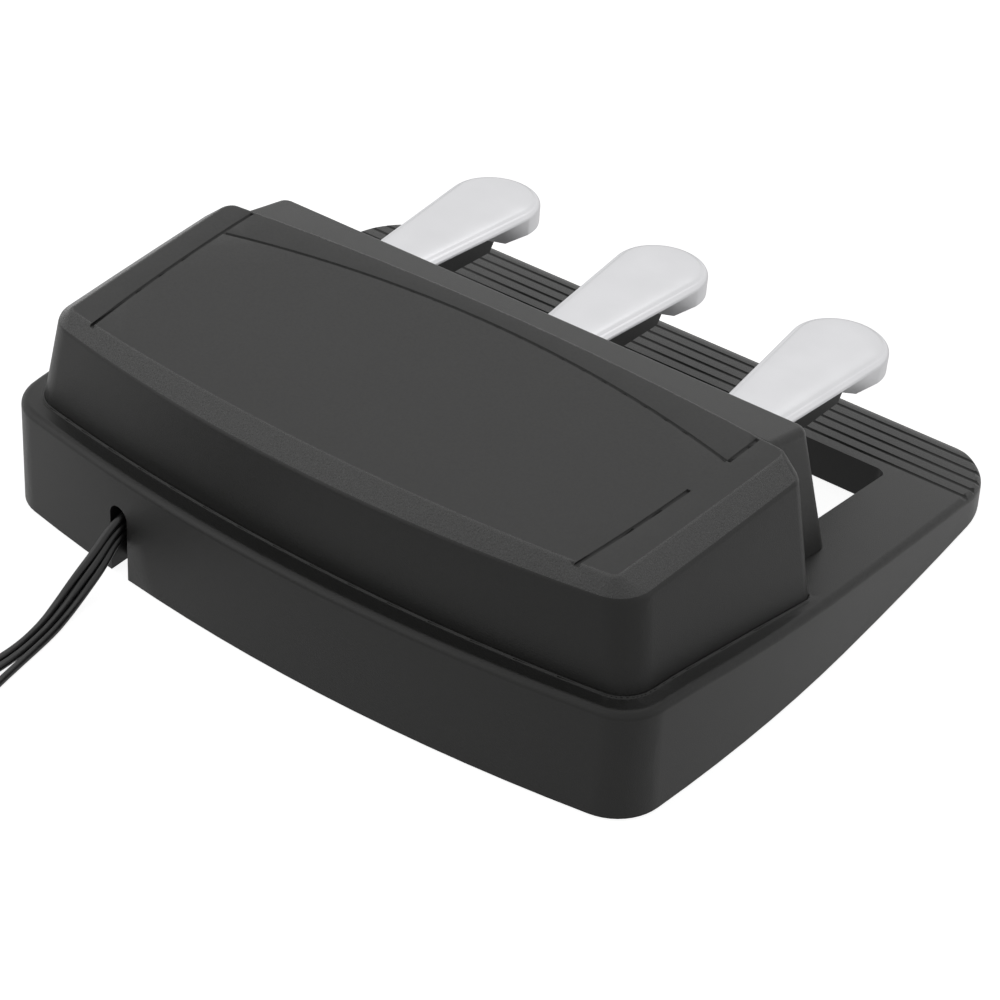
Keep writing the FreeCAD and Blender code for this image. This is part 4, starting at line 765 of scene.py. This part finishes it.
def turned(profile, placement):
    """Closed shape turned about the Y axis, then put in its place."""
    shape = bmesh.new()
    line = [shape.verts.new((radius * MM, distance * MM, 0)) for distance, radius in profile]
    for one, other in zip(line, line[1:]):
        shape.edges.new((one, other))
    geom = shape.verts[:] + shape.edges[:]
    bmesh.ops.spin(shape, geom=geom, cent=(0, 0, 0), axis=(0, 1, 0), dvec=(0, 0, 0),
                   angle=2 * math.pi, steps=TURNED_STEPS, use_merge=True, use_duplicate=False)
    bmesh.ops.remove_doubles(shape, verts=shape.verts, dist=PLACE_SLACK)
    bmesh.ops.holes_fill(shape, edges=shape.edges)
    bmesh.ops.recalc_face_normals(shape, faces=shape.faces)
    bmesh.ops.transform(shape, matrix=placement, verts=shape.verts)
    return shape


def phone_plug(name):
    """Moulded grip and turned pin at the far end of a cord."""
    side = COIL_SIDE[name]
    placement = coil_placement(ROUTES[name], side) @ Matrix.Translation(plug_end(side))
    grip = finish_piece("plug_grip_" + name, turned(GRIP_PROFILE, placement), "base",
                        "plug_plastic", ["plug_" + name], sharp=40)
    pin = finish_piece("plug_pin_" + name, turned(PIN_PROFILE, placement), "base",
                       "shaft_steel", (), sharp=40)
    pin.data.materials.append(MATERIALS["plug_plastic"])
    inward = placement.inverted()
    for face in pin.data.polygons:
        along = (inward @ face.center).y
        if any(start < along < end for start, end in INSULATOR_PLACES):
            face.material_index = 1
    return [grip, pin]


for name in ROUTES:
    cord_piece(name)
    phone_plug(name)


# Floor, backdrop and light

FLOOR_HALF = 6
# The floor's own glow where the camera sees it, and the share of that glow in mirrors
PAPER_GLOW = 0.9
PAPER_MIRRORED = 0.6
WORLD_LIGHT = 0.2
WHITE = linear("#ffffff")


def pale_floor():
    """Plain white floor that keeps the object's shadow."""
    shape = bmesh.new()
    bmesh.ops.create_grid(shape, x_segments=1, y_segments=1, size=FLOOR_HALF)
    mesh = bpy.data.meshes.new("floor")
    shape.to_mesh(mesh)
    shape.free()
    floor = bpy.data.objects.new("floor", mesh)
    bpy.context.scene.collection.objects.link(floor)
    made, tree, place = start_material("white_paper")
    ray = add(tree, "LightPath").outputs
    mirrored = math_node(tree, "MAXIMUM", ray["Is Glossy Ray"], ray["Is Transmission Ray"])
    mirrored = math_node(tree, "MULTIPLY", mirrored, PAPER_MIRRORED)
    seen = math_node(tree, "MAXIMUM", ray["Is Camera Ray"], mirrored)
    fibre = noise(tree, place, 3 * MM)
    paper = add(tree, "BsdfPrincipled", inputs={
        "Roughness": 0.9,
        "Specular IOR Level": 0.0,
        "Emission Color": WHITE,
    }, links={
        "Base Color": two_tone(tree, fibre, "#c8c8c8", "#cccccc"),
        "Emission Strength": math_node(tree, "MULTIPLY", seen, PAPER_GLOW),
    })
    # Seen from below the floor is clear, so that the underside of the unit can be looked at
    clear = add(tree, "BsdfTransparent")
    under = add(tree, "NewGeometry").outputs["Backfacing"]
    mixed = add(tree, "MixShader", links={"Fac": under})
    tree.links.new(paper.outputs["BSDF"], mixed.inputs[1])
    tree.links.new(clear.outputs["BSDF"], mixed.inputs[2])
    add(tree, "OutputMaterial", links={"Surface": mixed.outputs["Shader"]})
    floor.data.materials.append(made)


def light_world():
    """Even pale surroundings: white where they are seen or mirrored, dimmer as light."""
    world = bpy.data.worlds.new("studio")
    bpy.context.scene.world = world
    world.use_nodes = True
    tree = world.node_tree
    tree.nodes.clear()
    ray = add(tree, "LightPath").outputs
    seen = math_node(tree, "MAXIMUM", ray["Is Camera Ray"], ray["Is Glossy Ray"])
    seen = math_node(tree, "MAXIMUM", seen, ray["Is Transmission Ray"])
    strength = mapped(tree, seen, 0, 1, WORLD_LIGHT, 1.0)
    light = add(tree, "Background", inputs={"Color": WHITE}, links={"Strength": strength})
    add(tree, "OutputWorld", links={"Surface": light.outputs["Background"]})


def soft_lamp(name, place, target, width, power):
    """Square soft box that faces a target, with its width in metres and its power in watts."""
    data = bpy.data.lights.new(name, "AREA")
    data.shape = "SQUARE"
    data.size = width
    data.energy = power
    lamp = bpy.data.objects.new(name, data)
    lamp.location = place
    lamp.rotation_euler = (Vector(place) - Vector(target)).to_track_quat("Z", "Y").to_euler()
    bpy.context.scene.collection.objects.link(lamp)


pale_floor()
light_world()
soft_lamp("key_box", (0.25, -0.3, 1.25), (0, 0, 0), width=1.2, power=3)
soft_lamp("left_box", (1.3, 1.4, 1.0), (0, 0, 0.03), width=1.9, power=9)
soft_lamp("right_box", (-1.5, -0.5, 0.6), (0, 0, 0.03), width=0.9, power=1)

view = bpy.context.scene.view_settings
view.view_transform = "Standard"
